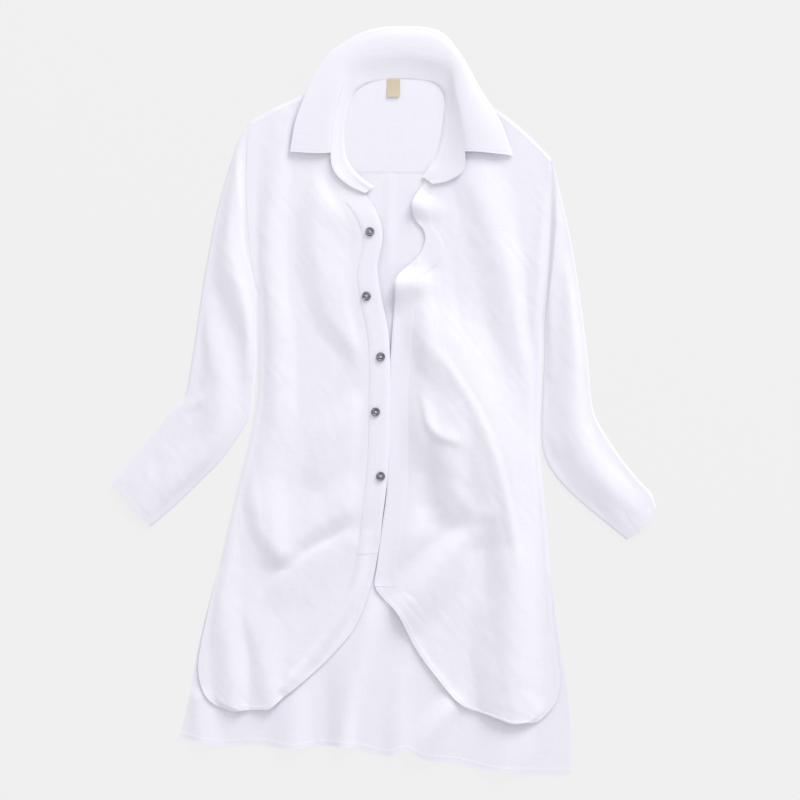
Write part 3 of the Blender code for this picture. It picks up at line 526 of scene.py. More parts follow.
RIGHT_FRONT_RIDGES = (
    ridge(
        (188, -240, 14, 12, 1.0), (182, -195, 16, 12, 3.5), (171, -140, 18, 12, 4.0),
        (157, -84, 20, 12, 4.0), (136, -30, 20, 12, 4.0), (116, 8, 18, 12, 3.5),
        (86, 54, 16, 12, 3.0), (60, 84, 14, 12, 1.0),
    ),
    ridge(
        (182, -470, 60, 60, 4.5), (176, -400, 64, 52, 9.5), (177, -300, 62, 50, 11.5),
        (180, -232, 58, 48, 11.5), (181, -195, 74, 46, 9.5), (170, -140, 110, 60, 10.5),
        (156, -84, 118, 80, 12.0), (134, -30, 96, 90, 12.0), (114, 8, 72, 90, 11.5),
        (84, 54, 60, 90, 10.5), (56, 86, 46, 90, 9.0), (28, 122, 40, 80, 7.0),
        (8, 160, 40, 70, 6.0),
    ),
    ridge(
        (210, -60, 30, 30, 0.5), (200, -10, 40, 30, 2.5), (194, 40, 46, 26, 4.0),
        (184, 100, 44, 24, 5.0), (177, 150, 46, 26, 5.5), (168, 190, 50, 34, 6.0),
        (152, 235, 46, 46, 6.0), (138, 275, 40, 60, 5.0), (122, 310, 36, 60, 3.5),
        (112, 350, 30, 50, 1.5),
    ),
    ridge(
        (222, 20, 20, 20, 0.5), (218, 100, 24, 20, 2.0), (224, 200, 22, 20, 2.0),
        (226, 290, 20, 20, 0.8),
    ),
    ridge(
        (34, 278, 30, 24, 8.0), (62, 268, 26, 24, 3.5), (88, 262, 24, 24, 0.5),
    ),
    ridge(
        (80, 158, 30, 30, 0.8), (44, 162, 34, 30, 5.0), (10, 160, 40, 34, 8.0),
    ),
    ridge(
        (112, -64, 10, 16, 1.0), (98, -58, 9, 18, 4.0), (78, -51, 8, 20, 5.5),
        (64, -36, 8, 20, 5.5), (57, -8, 10, 20, 3.5), (51, 32, 14, 20, 0.5),
    ),
    ridge(
        (124, -74, 70, 60, 2.0), (102, -62, 84, 80, 7.0), (80, -50, 84, 95, 9.5),
        (62, -30, 60, 95, 9.0), (52, 0, 36, 80, 6.0), (46, 40, 24, 60, 2.0),
    ),
    ridge(
        (128, -156, 44, 22, 2.0), (98, -128, 60, 34, 7.5), (97, -94, 62, 32, 8.5),
        (104, -62, 56, 26, 5.0),
    ),
    ridge(
        (4, -256, 30, 18, 2.5), (20, -222, 34, 20, 5.0), (38, -190, 34, 30, 5.0),
        (54, -168, 36, 40, 2.2), (74, -152, 34, 40, 0.3),
    ),
    ridge(
        (18, -310, 26, 40, 7.0), (50, -268, 28, 50, 8.0), (78, -234, 30, 54, 8.0),
        (102, -206, 30, 44, 7.0), (126, -186, 26, 26, 4.0), (142, -160, 22, 20, 1.0),
    ),
    ridge(
        (148, -300, 40, 30, -0.5), (146, -230, 36, 30, -3.0), (142, -180, 26, 24, -2.0),
    ),
    ridge(
        (62, -140, 24, 30, -2.0), (58, -100, 22, 34, -4.0), (68, -66, 16, 24, -2.0),
    ),
    ridge(
        (112, -432, 20, 20, 1.0), (94, -412, 18, 18, 1.2), (62, -376, 16, 16, 1.5),
        (40, -330, 16, 14, 0.6),
    ),
)

BACK_RIDGES = (
    ridge(
        (8, 150, 16, 16, 0.3), (8, 230, 14, 12, 0.9), (9, 312, 14, 12, 0.7),
    ),
    ridge(
        (-58, -490, 26, 20, 7.0), (-50, -430, 34, 18, 7.0), (-36, -370, 50, 24, 6.0),
        (-22, -316, 30, 22, 5.0), (-12, -268, 16, 16, 1.0),
    ),
    ridge(
        (14, -504, 20, 20, 2.0), (18, -450, 24, 30, 2.5), (24, -390, 20, 30, 1.0),
    ),
    ridge(
        (40, -500, 24, 50, 7.0), (66, -462, 24, 40, 8.0), (88, -434, 24, 26, 6.5),
        (104, -410, 24, 22, 0.8),
    ),
    ridge(
        (166, -524, 50, 40, 5.5), (176, -480, 44, 50, 4.5), (190, -440, 40, 40, 1.5),
    ),
    ridge(
        (-130, -490, 40, 34, 6.0), (-124, -440, 40, 30, 4.5), (-114, -400, 30, 30, 1.5),
    ),
    ridge(
        (-258, -482, 24, 40, 4.0), (-262, -420, 12, 30, 2.5),
    ),
)

LEFT_SLEEVE_RIDGES = (
    ridge(
        (-186, 40, 18, 16, 2.0), (-188, 100, 26, 18, 4.5), (-200, 145, 36, 22, 5.5),
        (-213, 190, 34, 24, 5.5), (-217, 235, 26, 24, 5.0), (-214, 290, 20, 26, 4.0),
        (-210, 345, 14, 26, 3.0), (-198, 372, 12, 24, 1.0),
    ),
    ridge(
        (-330, -160, 40, 20, 1.0), (-292, -122, 44, 22, 3.0), (-258, -92, 44, 26, 4.5),
        (-236, -58, 42, 30, 5.0), (-230, -10, 40, 34, 5.0), (-235, 45, 24, 30, 4.5),
        (-246, 95, 14, 26, 3.0), (-250, 135, 10, 22, 1.0),
    ),
    ridge(
        (-178, 172, 10, 12, -0.3), (-188, 215, 12, 14, -1.8), (-196, 262, 12, 14, -0.6),
    ),
    ridge(
        (-276, -8, 10, 14, 0.5), (-258, 0, 12, 14, 1.6), (-240, 22, 12, 14, 0.3),
    ),
)

RIGHT_SLEEVE_RIDGES = (
    ridge(
        (232, 40, 14, 30, 1.5), (232, 120, 14, 30, 2.5), (236, 220, 14, 26, 2.5),
        (240, 300, 12, 18, 1.5),
    ),
    ridge(
        (356, -160, 40, 26, 1.0), (322, -126, 44, 34, 4.0), (292, -96, 44, 36, 5.0),
        (272, -56, 44, 34, 5.5), (265, -10, 42, 30, 5.0), (266, 70, 36, 22, 4.5),
        (262, 140, 26, 18, 3.5), (254, 200, 22, 16, 1.0),
    ),
    ridge(
        (250, -92, 16, 16, 0.3), (240, -60, 14, 18, 1.5), (230, -30, 12, 16, 0.3),
    ),
)

BUTTON_PLACES = (
    EdgePoint(-19, 236),
    EdgePoint(-24, 146),
    EdgePoint(-4, 61),
    EdgePoint(-11, -16),
    EdgePoint(-4, -106),
)

BUTTON_PROFILE = (
    ProfilePoint(1.3, 0),
    ProfilePoint(0.5, 0.12),
    ProfilePoint(0, 0.4),
    ProfilePoint(0, 0.6),
    ProfilePoint(0.2, 0.8),
    ProfilePoint(0.6, 0.95),
    ProfilePoint(1.1, 1),
    ProfilePoint(1.6, 0.95),
    ProfilePoint(2.0, 0.8),
    ProfilePoint(2.4, 0.7),
)


# Curves
def eased(amount: Array | float) -> Array:
    """Amount held between 0 and 1, with a smooth start and end."""
    held = np.clip(amount, 0, 1)
    return held * held * (3 - 2 * held)


def smooth_curve(at: Array, knots: Array | list | tuple, values: Array | list | tuple) -> Array:
    """Reads a smooth curve.

    Args:
        at: Where the curve is read.
        knots: Places of the given values, which rise.
        values: The values that the curve runs through.

    Returns:
        The curve's values at the places asked for.
    """
    knots = np.asarray(knots, float)
    values = np.asarray(values, float)
    slopes = np.gradient(values, knots, axis=0)
    index = np.clip(np.searchsorted(knots, at, side="right") - 1, 0, len(knots) - 2)
    span = knots[index + 1] - knots[index]
    part = (at - knots[index]) / span
    if values.ndim > 1:
        span = span[..., None]
        part = part[..., None]
    rest = 1 - part
    near = rest * rest * ((1 + 2 * part) * values[index] + part * span * slopes[index])
    far = part * part * ((1 + 2 * rest) * values[index + 1] - rest * span * slopes[index + 1])
    return near + far


def levels_of(table: tuple | Array, steps: int) -> Array:
    """Levels along a table, with some steps between each two of its rows."""
    return np.linspace(0, len(table) - 1, steps * (len(table) - 1) + 1)


def through_sections(table: tuple, levels: Array) -> Array:
    """Columns of a table as smooth curves, read at the given levels."""
    return smooth_curve(levels, np.arange(len(table)), np.array(table)).T


def edge_curve(table: tuple[EdgePoint, ...], across: Array) -> tuple[Array, Array]:
    """X and Y of an edge, at shares of the way from its left end to its right end."""
    x = table[0].x + across * (table[-1].x - table[0].x)
    return x, smooth_curve(x, [point.x for point in table], [point.y for point in table])


def armhole_x(side: Side, y: Array) -> Array:
    """Reads the armhole seam.

    Args:
        side: Side of the dress.
        y: Places of the points along the dress.

    Returns:
        X of the seam beside each point.
    """
    armhole = ARMHOLES[side]
    part = (armhole.shoulder_y - y) / (armhole.shoulder_y - armhole.underarm_y)
    straight = armhole.shoulder_x + part * (armhole.underarm_x - armhole.shoulder_x)
    return straight + side.value * armhole.bow * 4 * part * (1 - part)


def side_x(side: Side, y: Array) -> Array:
    """Reads the body's side edge.

    Args:
        side: Side of the dress.
        y: Places of the points along the dress.

    Returns:
        X of the edge beside each point: the armhole above, and the side seam below it.
    """
    underarm_y = ARMHOLES[side].underarm_y
    seam = SIDE_SEAMS[side]
    down = -np.minimum(y, underarm_y)
    below = smooth_curve(down, [-point.y for point in seam], [point.x for point in seam])
    return np.where(y > underarm_y, armhole_x(side, y), below)


def raised(x: Array, y: Array, z: Array) -> Array:
    """Grid of points from its three coordinates."""
    return np.stack([x, y, z], axis=-1)


def lifted(grid: Array, height: Array | float) -> Array:
    """Grid of points moved straight up."""
    return grid + np.asarray(height)[..., None] * (0, 0, 1)


def on_cloth(x: Array, y: Array) -> Array:
    """Place of each point on its cut cloth, in metres."""
    return np.stack([x, y], axis=-1) * MM


def in_hem(from_edge: Array) -> Array:
    """How much of a hem's fold lies at each distance from its edge, from 1 in it to 0 past it."""
    return 1 - eased((from_edge - HEM_WIDTH + 1) / HEM_STEP)


def normals(grid: Array) -> Array:
    """Works out which way a grid faces.

    Args:
        grid: Grid of points.

    Returns:
        Unit normals of the points, on the grid's upper side.
    """
    crossed = np.cross(np.gradient(grid, axis=0), np.gradient(grid, axis=1))
    crossed /= np.maximum(np.linalg.norm(crossed, axis=-1, keepdims=True), 1e-9)
    return crossed * np.where(crossed[..., 2:] < 0, -1, 1)


def walked(grid: Array, axis: int) -> Array:
    """Walks along the lines of a grid.

    Args:
        grid: Grid of points.
        axis: 0 to walk from its first row, or 1 from its first column.

    Returns:
        Distance walked at each point.
    """
    steps = np.linalg.norm(np.diff(grid, axis=axis), axis=-1)
    start = np.zeros_like(np.take(steps, [0], axis=axis))
    return np.concatenate([start, np.cumsum(steps, axis=axis)], axis=axis)


def walked_back(grid: Array, axis: int) -> Array:
    """Distance of each point from the last row or column of a grid, along its own lines."""
    along = walked(grid, axis)
    return np.take(along, [-1], axis=axis) - along


def smooth_max(a: Array, b: Array | float, blend: float) -> Array:
    """The larger of two heights, rounded where they cross."""
    return 0.5 * (a + b + np.sqrt((a - b) ** 2 + blend * blend))


# Folds and wrinkles
def ridge_rise(crest: tuple[RidgePoint, ...], x: Array, y: Array) -> Array:
    """Works out one ridge or trough.

    Args:
        crest: Points of its crest, walked towards the collar.
        x: Places of the points across the dress.
        y: Places of the points along the dress.

    Returns:
        Height over each point, falling to nothing at the ridge's widths.
    """
    levels = levels_of(crest, STEPS_PER_POINT)
    path_x, path_y, left, right, rise = through_sections(crest, levels)
    path = np.stack([path_x, path_y], axis=-1)
    reach = max(left.max(), right.max())
    near = (x > path_x.min() - reach) & (x < path_x.max() + reach)
    near &= (y > path_y.min() - reach) & (y < path_y.max() + reach)
    points = np.stack([x[near], y[near]], axis=-1)
    nearest = np.full(len(points), np.inf)
    along = np.zeros(len(points))
    hand = np.zeros(len(points))
    for number, (start, end) in enumerate(zip(path[:-1], path[1:])):
        piece = end - start
        part = np.clip(((points - start) @ piece) / (piece @ piece), 0, 1)
        offset = points - (start + part[:, None] * piece)
        distance = np.hypot(offset[:, 0], offset[:, 1])
        closer = distance < nearest
        nearest = np.where(closer, distance, nearest)
        along = np.where(closer, number + part, along)
        turned = (piece[0] * offset[:, 1] - piece[1] * offset[:, 0]) / np.hypot(*piece)
        hand = np.where(closer, turned / np.maximum(distance, TINY), hand)
    places = np.arange(len(path))
    to_left = 0.5 + 0.5 * hand
    width = to_left * np.interp(along, places, left)
    width += (1 - to_left) * np.interp(along, places, right)
    share = np.minimum(nearest / width, 1)
    found = np.zeros(x.shape)
    found[near] = np.interp(along, places, rise) * (1 - share) ** 2 * (1 + 2 * share)
    return found


def ridged(ridges: Ridges, x: Array, y: Array) -> Array:
    """Works out all ridges and troughs of a piece.

    Args:
        ridges: The ridges and troughs.
        x: Places of the points across the dress.
        y: Places of the points along the dress.

    Returns:
        Height over each point: the ridges joined smoothly, with the troughs taken off.
    """
    rises = [ridge_rise(crest, x, y) for crest in ridges]
    up = sum(np.maximum(rise, 0) ** RIDGE_JOIN for rise in rises) ** (1 / RIDGE_JOIN)
    return RELIEF * (up + sum(np.minimum(rise, 0) for rise in rises))


@dataclass(frozen=True)
class Crumple:
    """Small soft wrinkles that linen keeps after it is pressed.

    Attributes:
        seed: Choice of the wrinkles.
        height: Height of the highest ones.
        spacing: Distance between them.
        length: Their length.
        turn: Their direction, in degrees from the dress's length.
        cells: Wrinkles to each side of the square that repeats.
        softness: Roundness of their creases.
        level: Share of the height that lies below 0.
    """

    seed: int
    height: float
    spacing: float
    length: float
    turn: float
    cells: int = 64
    softness: float = 0.01
    level: float = 0.35

    def at(self, x: Array, y: Array) -> Array:
        """Works out the wrinkles.

        Args:
            x: Places of the points across the dress.
            y: Places of the points along the dress.

        Returns:
            Height of the wrinkles over each point, below 0 in their hollows.
        """
        angle = math.radians(self.turn)
        across = (x * math.cos(angle) + y * math.sin(angle)) / self.spacing
        along = (y * math.cos(angle) - x * math.sin(angle)) / self.length
        table = np.random.default_rng(self.seed).uniform(-1, 1, (self.cells, self.cells))
        column = np.floor(across).astype(int)
        row = np.floor(along).astype(int)
        right = eased(across - column)
        up = eased(along - row)
        before, after = column % self.cells, (column + 1) % self.cells
        lines = (row % self.cells, (row + 1) % self.cells)
        low, high = (table[line, before] * (1 - right) + table[line, after] * right for line in lines)
        value = low * (1 - up) + high * up
        return self.height * (np.sqrt(value * value + self.softness) - self.level)


CRUMPLES = (
    Crumple(seed=3, height=1.6, spacing=34, length=150, turn=6),
    Crumple(seed=8, height=0.7, spacing=17, length=60, turn=-18),
    Crumple(seed=21, height=0.45, spacing=11, length=32, turn=38),
)


def crumpled(x: Array, y: Array) -> Array:
    """Height of all the small wrinkles together."""
    return sum(crumple.at(x, y) for crumple in CRUMPLES)


class HeightMap:
    """Height of a piece's upper side over the table, for what lies on it."""

    CELL = 6
    REACH = 640
    SMOOTHINGS = 3

    def __init__(self, grids: list[Array]) -> None:
        """Takes the highest point over each cell, spread to the cells beside it and smoothed.

        Args:
            grids: Points of the upper sides that count.
        """
        count = 2 * self.REACH // self.CELL + 1
        heights = np.zeros((count, count))
        for grid in grids:
            spots = grid.reshape(-1, 3)
            row, column = self._cells(spots[:, 0], spots[:, 1])
            np.maximum.at(heights, (row.round().astype(int), column.round().astype(int)), spots[:, 2])
        wide = heights.copy()
        for rows in (-1, 0, 1):
            for columns in (-1, 0, 1):
                wide = np.maximum(wide, np.roll(heights, (rows, columns), (0, 1)))
        for _ in range(self.SMOOTHINGS):
            wide = (np.roll(wide, 1, 0) + 2 * wide + np.roll(wide, -1, 0)) / 4
            wide = (np.roll(wide, 1, 1) + 2 * wide + np.roll(wide, -1, 1)) / 4
        self.heights = wide

    def _cells(self, x: Array, y: Array) -> tuple[Array, Array]:
        """Row and column of each point, as numbers between the cells."""
        return (y + self.REACH) / self.CELL, (x + self.REACH) / self.CELL

    def at(self, x: Array, y: Array) -> Array:
        """Reads the map between its cells.

        Args:
            x: Places of the points across the dress.
            y: Places of the points along the dress.

        Returns:
            Height under each point.
        """
        row, column = self._cells(x, y)
        r = np.floor(row).astype(int)
        c = np.floor(column).astype(int)
        up = row - r
        right = column - c
        near = self.heights[r, c] * (1 - right) + self.heights[r, c + 1] * right
        far = self.heights[r + 1, c] * (1 - right) + self.heights[r + 1, c + 1] * right
        return near * (1 - up) + far * up


# Meshes
def linear(channel: float) -> float:
    """Linear value of one sRGB channel."""
    return channel / 12.92 if channel <= 0.04045 else ((channel + 0.055) / 1.055) ** 2.4


def colour(code: str) -> tuple[float, float, float, float]:
    """Linear colour of an sRGB hex code."""
    red, green, blue = (linear(int(code[at : at + 2], 16) / 255) for at in (0, 2, 4))
    return red, green, blue, 1.0


def add_object(name: str, data: bpy.types.ID) -> bpy.types.Object:
    """Adds an object to the scene.

    Args:
        name: Its name.
        data: Its mesh, curve, lamp or camera.

    Returns:
        The new object, at the origin.
    """
    made = bpy.data.objects.new(name, data)
    bpy.context.scene.collection.objects.link(made)
    return made


def plain_mesh(source: bpy.types.Object) -> bpy.types.Mesh:
    """Makes a mesh of what an object's modifiers or its curve make.

    Args:
        source: The object.

    Returns:
        The plain mesh.
    """
    bpy.context.view_layer.update()
    evaluated = source.evaluated_get(bpy.context.evaluated_depsgraph_get())
    return bpy.data.meshes.new_from_object(evaluated)


def declared(made: bpy.types.Object, slot: str, *nodes: str) -> bpy.types.Object:
    """Makes a finished piece part of the dress.

    Args:
        made: The piece.
        slot: Material slot that its finish goes by; not used.
        nodes: Solids that it stands for, if any.

    Returns:
        The piece, riding on the dress.
    """
    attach(made, BODY)
    if nodes:
        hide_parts(*nodes)
    LOG.info("%s: %d faces", made.name, len(made.data.polygons))
    return made


def add_mesh(
    name: str, points: Array, faces: list, grain: Array, finish: bpy.types.Material
) -> bpy.types.Object:
    """Adds a mesh.

    Args:
        name: Name of the piece.
        points: Its points, in millimetres.
        faces: Its faces, as point numbers, all facing out.
        grain: Place of each point on the cut cloth, in metres, for the weave.
        finish: Its material.

    Returns:
        The new object, at the origin.
    """
    mesh = bpy.data.meshes.new(name)
    mesh.from_pydata((points * MM).tolist(), [], faces)
    mesh.shade_smooth()
    mesh.set_sharp_from_angle(angle=CLOTH_EDGE_ANGLE)
    corners = np.empty(len(mesh.loops), np.int32)
    mesh.loops.foreach_get("vertex_index", corners)
    layer = mesh.uv_layers.new(name="grain")
    layer.data.foreach_set("uv", grain[corners].astype(np.float32).ravel())
    mesh.materials.append(finish)
    return add_object(name, mesh)


def grid_quads(numbers: Array) -> Array:
    """Four-sided faces over a grid of point numbers."""
    corners = (numbers[:-1, :-1], numbers[:-1, 1:], numbers[1:, 1:], numbers[1:, :-1])
    return np.stack(corners, axis=-1).reshape(-1, 4)


def strip_quads(first: Array, second: Array) -> Array:
    """Four-sided faces between two rows of point numbers."""
    return np.stack([first[:-1], first[1:], second[1:], second[:-1]], axis=-1)


@dataclass
class Shell:
    """One piece of cloth as a closed thin wall between two grids of points.

    Attributes:
        lower: Its under side, or the lining side of a tube.
        upper: Its upper side, or the outer side of a tube.
        grain: Place of each point on the cut cloth, in metres.
        tube: Whether its last column joins its first.
    """

    lower: Array
    upper: Array
    grain: Array
    tube: bool = False

    def faces(self) -> list[list[int]]:
        """Joins the points of both sides.

        Returns:
            The point numbers of each face of the wall, all facing out.
        """
        rows, columns = self.lower.shape[:2]
        low = np.arange(rows * columns).reshape(rows, columns)
        if self.tube:
            low = np.concatenate([low, low[:, :1]], axis=1)
        high = low + rows * columns
        parts = [grid_quads(low), grid_quads(high)[:, ::-1]]
        if self.tube:
            parts += [strip_quads(high[0], low[0]), strip_quads(low[-1], high[-1])]
        else:
            sides = (low[0], low[1:, -1], low[-1, -2::-1], low[-2:0:-1, 0], low[0, :1])
            rim = np.concatenate(sides)
            parts.append(strip_quads(rim + rows * columns, rim))
        faces = np.concatenate(parts)
        corners = self.points()[faces]
        volume = np.einsum("ij,ij->", corners[:, 0], np.cross(corners[:, 1], corners[:, 2]))
        volume += np.einsum("ij,ij->", corners[:, 0], np.cross(corners[:, 2], corners[:, 3]))
        return (faces if volume > 0 else faces[:, ::-1]).tolist()

    def points(self) -> Array:
        """Points of both sides, the lower ones first."""
        return np.concatenate([self.lower.reshape(-1, 3), self.upper.reshape(-1, 3)])

    def middle(self) -> Array:
        """Grid half way through the cloth, closed where it is a tube."""
        grid = (self.lower + self.upper) / 2
        return np.concatenate([grid, grid[:, :1]], axis=1) if self.tube else grid

    def piece(
        self,
        name: str,
        node: str,
        finish: bpy.types.Material,
        rests_on: list[str],
        slot: str = "linen",
    ) -> bpy.types.Object:
        """Adds the cloth as a piece of the dress.

        Args:
            name: Name of the piece.
            node: Solid that it stands for.
            finish: Its material.
            rests_on: Names of what it lies on; not used.
            slot: Material slot that its finish goes by.

        Returns:
            The piece, riding on the dress.
        """
        grain = np.tile(self.grain.reshape(-1, 2), (2, 1))
        made = declared(add_mesh(name, self.points(), self.faces(), grain, finish), slot, node)
        return made


def line_at(grid: Array, distance: Array, wanted: float, lift: float) -> Array:
    """Line of points along a grid, a fixed distance from one of its edges.

    Args:
        grid: Points of the cloth's upper side, one row for each place along the line.
        distance: Distance of each point from that edge, falling or rising along each row.
        wanted: Distance of the line from the edge.
        lift: Height of the line over the cloth.

    Returns:
        One point for each row that is long enough.
    """
    found = []
    for points, away in zip(grid + lift * normals(grid), distance):
        if away.min() <= wanted <= away.max():
            order = np.argsort(away)
            found.append([np.interp(wanted, away[order], points[order, axis]) for axis in range(3)])
    return np.array(found)


def line_across(grid: Array, distance: Array, wanted: float, lift: float) -> Array:
    """Line of points across a grid's columns, as line_at makes it along its rows."""
    return line_at(grid.swapaxes(0, 1), distance.swapaxes(0, 1), wanted, lift)


# Finishes
def connect(tree: bpy.types.NodeTree, node: bpy.types.Node, inputs: dict) -> None:
    """Sets a node's inputs.

    Args:
        tree: Node tree that holds the node.
        node: The node.
        inputs: Its inputs by name or number, each with a value or another node's output.
    """
    for name, value in inputs.items():
        if isinstance(value, bpy.types.NodeSocket):
            tree.links.new(value, node.inputs[name])
        else:
            node.inputs[name].default_value = value


def add_node(
    tree: bpy.types.NodeTree, kind: str, inputs: dict | None = None, **settings: object
) -> bpy.types.Node:
    """Adds a node.

    Args:
        tree: Node tree that it goes into.
        kind: Its type.
        inputs: Its inputs, as connect takes them.
        settings: Its other settings.

    Returns:
        The new node.
    """
    node = tree.nodes.new(kind)
    for name, value in settings.items():
        setattr(node, name, value)
    connect(tree, node, inputs or {})
    return node


def new_material(name: str) -> tuple[bpy.types.Material, bpy.types.NodeTree, bpy.types.Node]:
    """Adds a material.

    Args:
        name: What the real material is.

    Returns:
        The material, its node tree and its main shader.
    """
    material = bpy.data.materials.new(name)
    material.use_nodes = True
    return material, material.node_tree, material.node_tree.nodes["Principled BSDF"]


@dataclass(frozen=True)
class Linen:
    """Plain-woven bleached linen: uneven threads, thicker here and there, and a dry, matt face.

    Attributes:
        white: Colour of the cloth.
        shade: Colour of its thick stretches of thread.
        thread: Distance between threads, in metres. Real ones lie 0.45 mm apart, which is too fine to
            show, so they are drawn coarser.
        slub: Width of a thick stretch of thread, in metres.
        slub_length: Its length, in metres.
        slub_relief: Its height, as a share of the weave's.
        relief: Height of the weave, in metres.
    """

    white: str = "F6F5FF"
    shade: str = "F1F0FC"
    thread: float = 0.0008
    slub: float = 0.0011
    slub_length: float = 0.03
    slub_relief: float = 1.2
    relief: float = 0.00009

    def material(self) -> bpy.types.Material:
        """Makes the linen, whose weave follows the grain of each cut piece.

        Returns:
            The material.
        """
        material, tree, shader = new_material("Bleached plain-woven linen")
        grain = add_node(tree, "ShaderNodeUVMap", uv_map="grain").outputs["UV"]
        weave = {"Vector": grain, "Scale": BAND_TURN / self.thread}
        weave.update({"Distortion": 1.2, "Detail": 1.0, "Detail Scale": 0.6})
        thin, long = 1 / self.slub, 1 / self.slub_length
        bands = []
        slubs = []
        for axis, scale in (("X", (thin, long, 1)), ("Y", (long, thin, 1))):
            band = add_node(tree, "ShaderNodeTexWave", weave, wave_type="BANDS", bands_direction=axis)
            bands.append(band.outputs["Fac"])
            turned = add_node(tree, "ShaderNodeMapping", {"Vector": grain, "Scale": scale}).outputs[0]
            noise = add_node(tree, "ShaderNodeTexNoise", {"Vector": turned, "Scale": 1.0, "Detail": 1.0})
            slubs.append(noise.outputs["Fac"])
        woven, slub = (
            add_node(tree, "ShaderNodeMath", {0: pair[0], 1: pair[1]}, operation="MAXIMUM").outputs[0]
            for pair in (bands, slubs)
        )
        stretch = {"Value": slub, "From Min": 0.55, "From Max": 0.8}
        thick = add_node(tree, "ShaderNodeMapRange", stretch).outputs[0]
        heights = {0: thick, 1: self.slub_relief, 2: woven}
        height = add_node(tree, "ShaderNodeMath", heights, operation="MULTIPLY_ADD").outputs[0]
        reliefs = {"Height": height, "Distance": self.relief, "Strength": 0.6}
        bump = add_node(tree, "ShaderNodeBump", reliefs)
        tones = {0: thick, 6: colour(self.white), 7: colour(self.shade)}
        tone = add_node(tree, "ShaderNodeMix", tones, data_type="RGBA")
        looks = {"Base Color": tone.outputs[2], "Normal": bump.outputs[0], "Roughness": 0.88, "IOR": 1.45}
        looks.update({"Specular IOR Level": 0.25, "Sheen Weight": 0.15, "Sheen Roughness": 0.5})
        connect(tree, shader, looks)
        return material


@dataclass(frozen=True)
class Thread:
    """Spun cotton sewing thread: plied, so it is finely ribbed and a little brighter than the linen.

    Attributes:
        white: Its colour.
        ply: Distance between its ribs, in metres.
        relief: Height of the ribs, in metres.
    """

    white: str = "FAFAFE"
    ply: float = 0.0004
    relief: float = 0.00005

    def material(self) -> bpy.types.Material:
        """Makes the thread, with the ply's ribs as bump.

        Returns:
            The material.
        """
        material, tree, shader = new_material("Spun cotton sewing thread")
        place = add_node(tree, "ShaderNodeTexCoord").outputs["Object"]
        plies = {"Vector": place, "Scale": BAND_TURN / self.ply}
        ribs = add_node(tree, "ShaderNodeTexWave", plies, wave_type="BANDS", bands_direction="DIAGONAL")
        relief = {"Height": ribs.outputs["Fac"], "Distance": self.relief, "Strength": 0.5}
        bump = add_node(tree, "ShaderNodeBump", relief)
        looks = {"Base Color": colour(self.white), "Normal": bump.outputs[0], "Roughness": 0.7}
        connect(tree, shader, looks)
        return material


@dataclass(frozen=True)
class DyedShell:
    """Dyed river shell, turned and polished: clouded grey with a purple cast and a clear gloss.

    Attributes:
        dark: Colour of its dark layers.
        light: Colour of its light layers.
        cloud: Size of the clouds, in metres.
    """

    dark: str = "55505C"
    light: str = "A7A2AE"
    cloud: float = 0.003

    def material(self) -> bpy.types.Material:
        """Makes the shell, clouded through its layers.

        Returns:
            The material.
        """
        material, tree, shader = new_material("Dyed polished river shell")
        place = add_node(tree, "ShaderNodeTexCoord").outputs["Object"]
        clouds = {"Vector": place, "Scale": 1 / self.cloud, "Detail": 3.0}
        cloud = add_node(tree, "ShaderNodeTexNoise", clouds)
        ramp = add_node(tree, "ShaderNodeValToRGB", {"Fac": cloud.outputs["Fac"]})
        stops = ((self.dark, 0.35), (self.light, 0.7))
        for element, (code, position) in zip(ramp.color_ramp.elements, stops):
            element.color = colour(code)
            element.position = position
        connect(tree, shader, {"Base Color": ramp.outputs["Color"], "Roughness": 0.28, "IOR": 1.53})
        return material


@dataclass(frozen=True)
class RibbedTape:
    """Damask label tape, woven of fine polyester: close cross ribs with a slight silky sheen.

    Attributes:
        beige: Its colour.
        rib: Distance between its ribs, in metres.
        relief: Height of the ribs, in metres.
    """

    beige: str = "D9CBB0"
    rib: float = 0.0005
    relief: float = 0.00008

    def material(self) -> bpy.types.Material:
        """Makes the tape, with its cross ribs as bump.

        Returns:
            The material.
        """
        material, tree, shader = new_material("Woven label tape")
        grain = add_node(tree, "ShaderNodeUVMap", uv_map="grain").outputs["UV"]
        threads = {"Vector": grain, "Scale": BAND_TURN / self.rib, "Distortion": 0.6}
        ribs = add_node(tree, "ShaderNodeTexWave", threads, wave_type="BANDS", bands_direction="Y")
        relief = {"Height": ribs.outputs["Fac"], "Distance": self.relief, "Strength": 0.7}
        bump = add_node(tree, "ShaderNodeBump", relief)
        looks = {"Base Color": colour(self.beige), "Normal": bump.outputs[0], "Roughness": 0.6}
        connect(tree, shader, looks | {"Sheen Weight": 0.3})
        return material


@dataclass(frozen=True)
class Finishes:
    """Materials of the dress, each made once."""

    linen: bpy.types.Material
    thread: bpy.types.Material
    button: bpy.types.Material
    label: bpy.types.Material


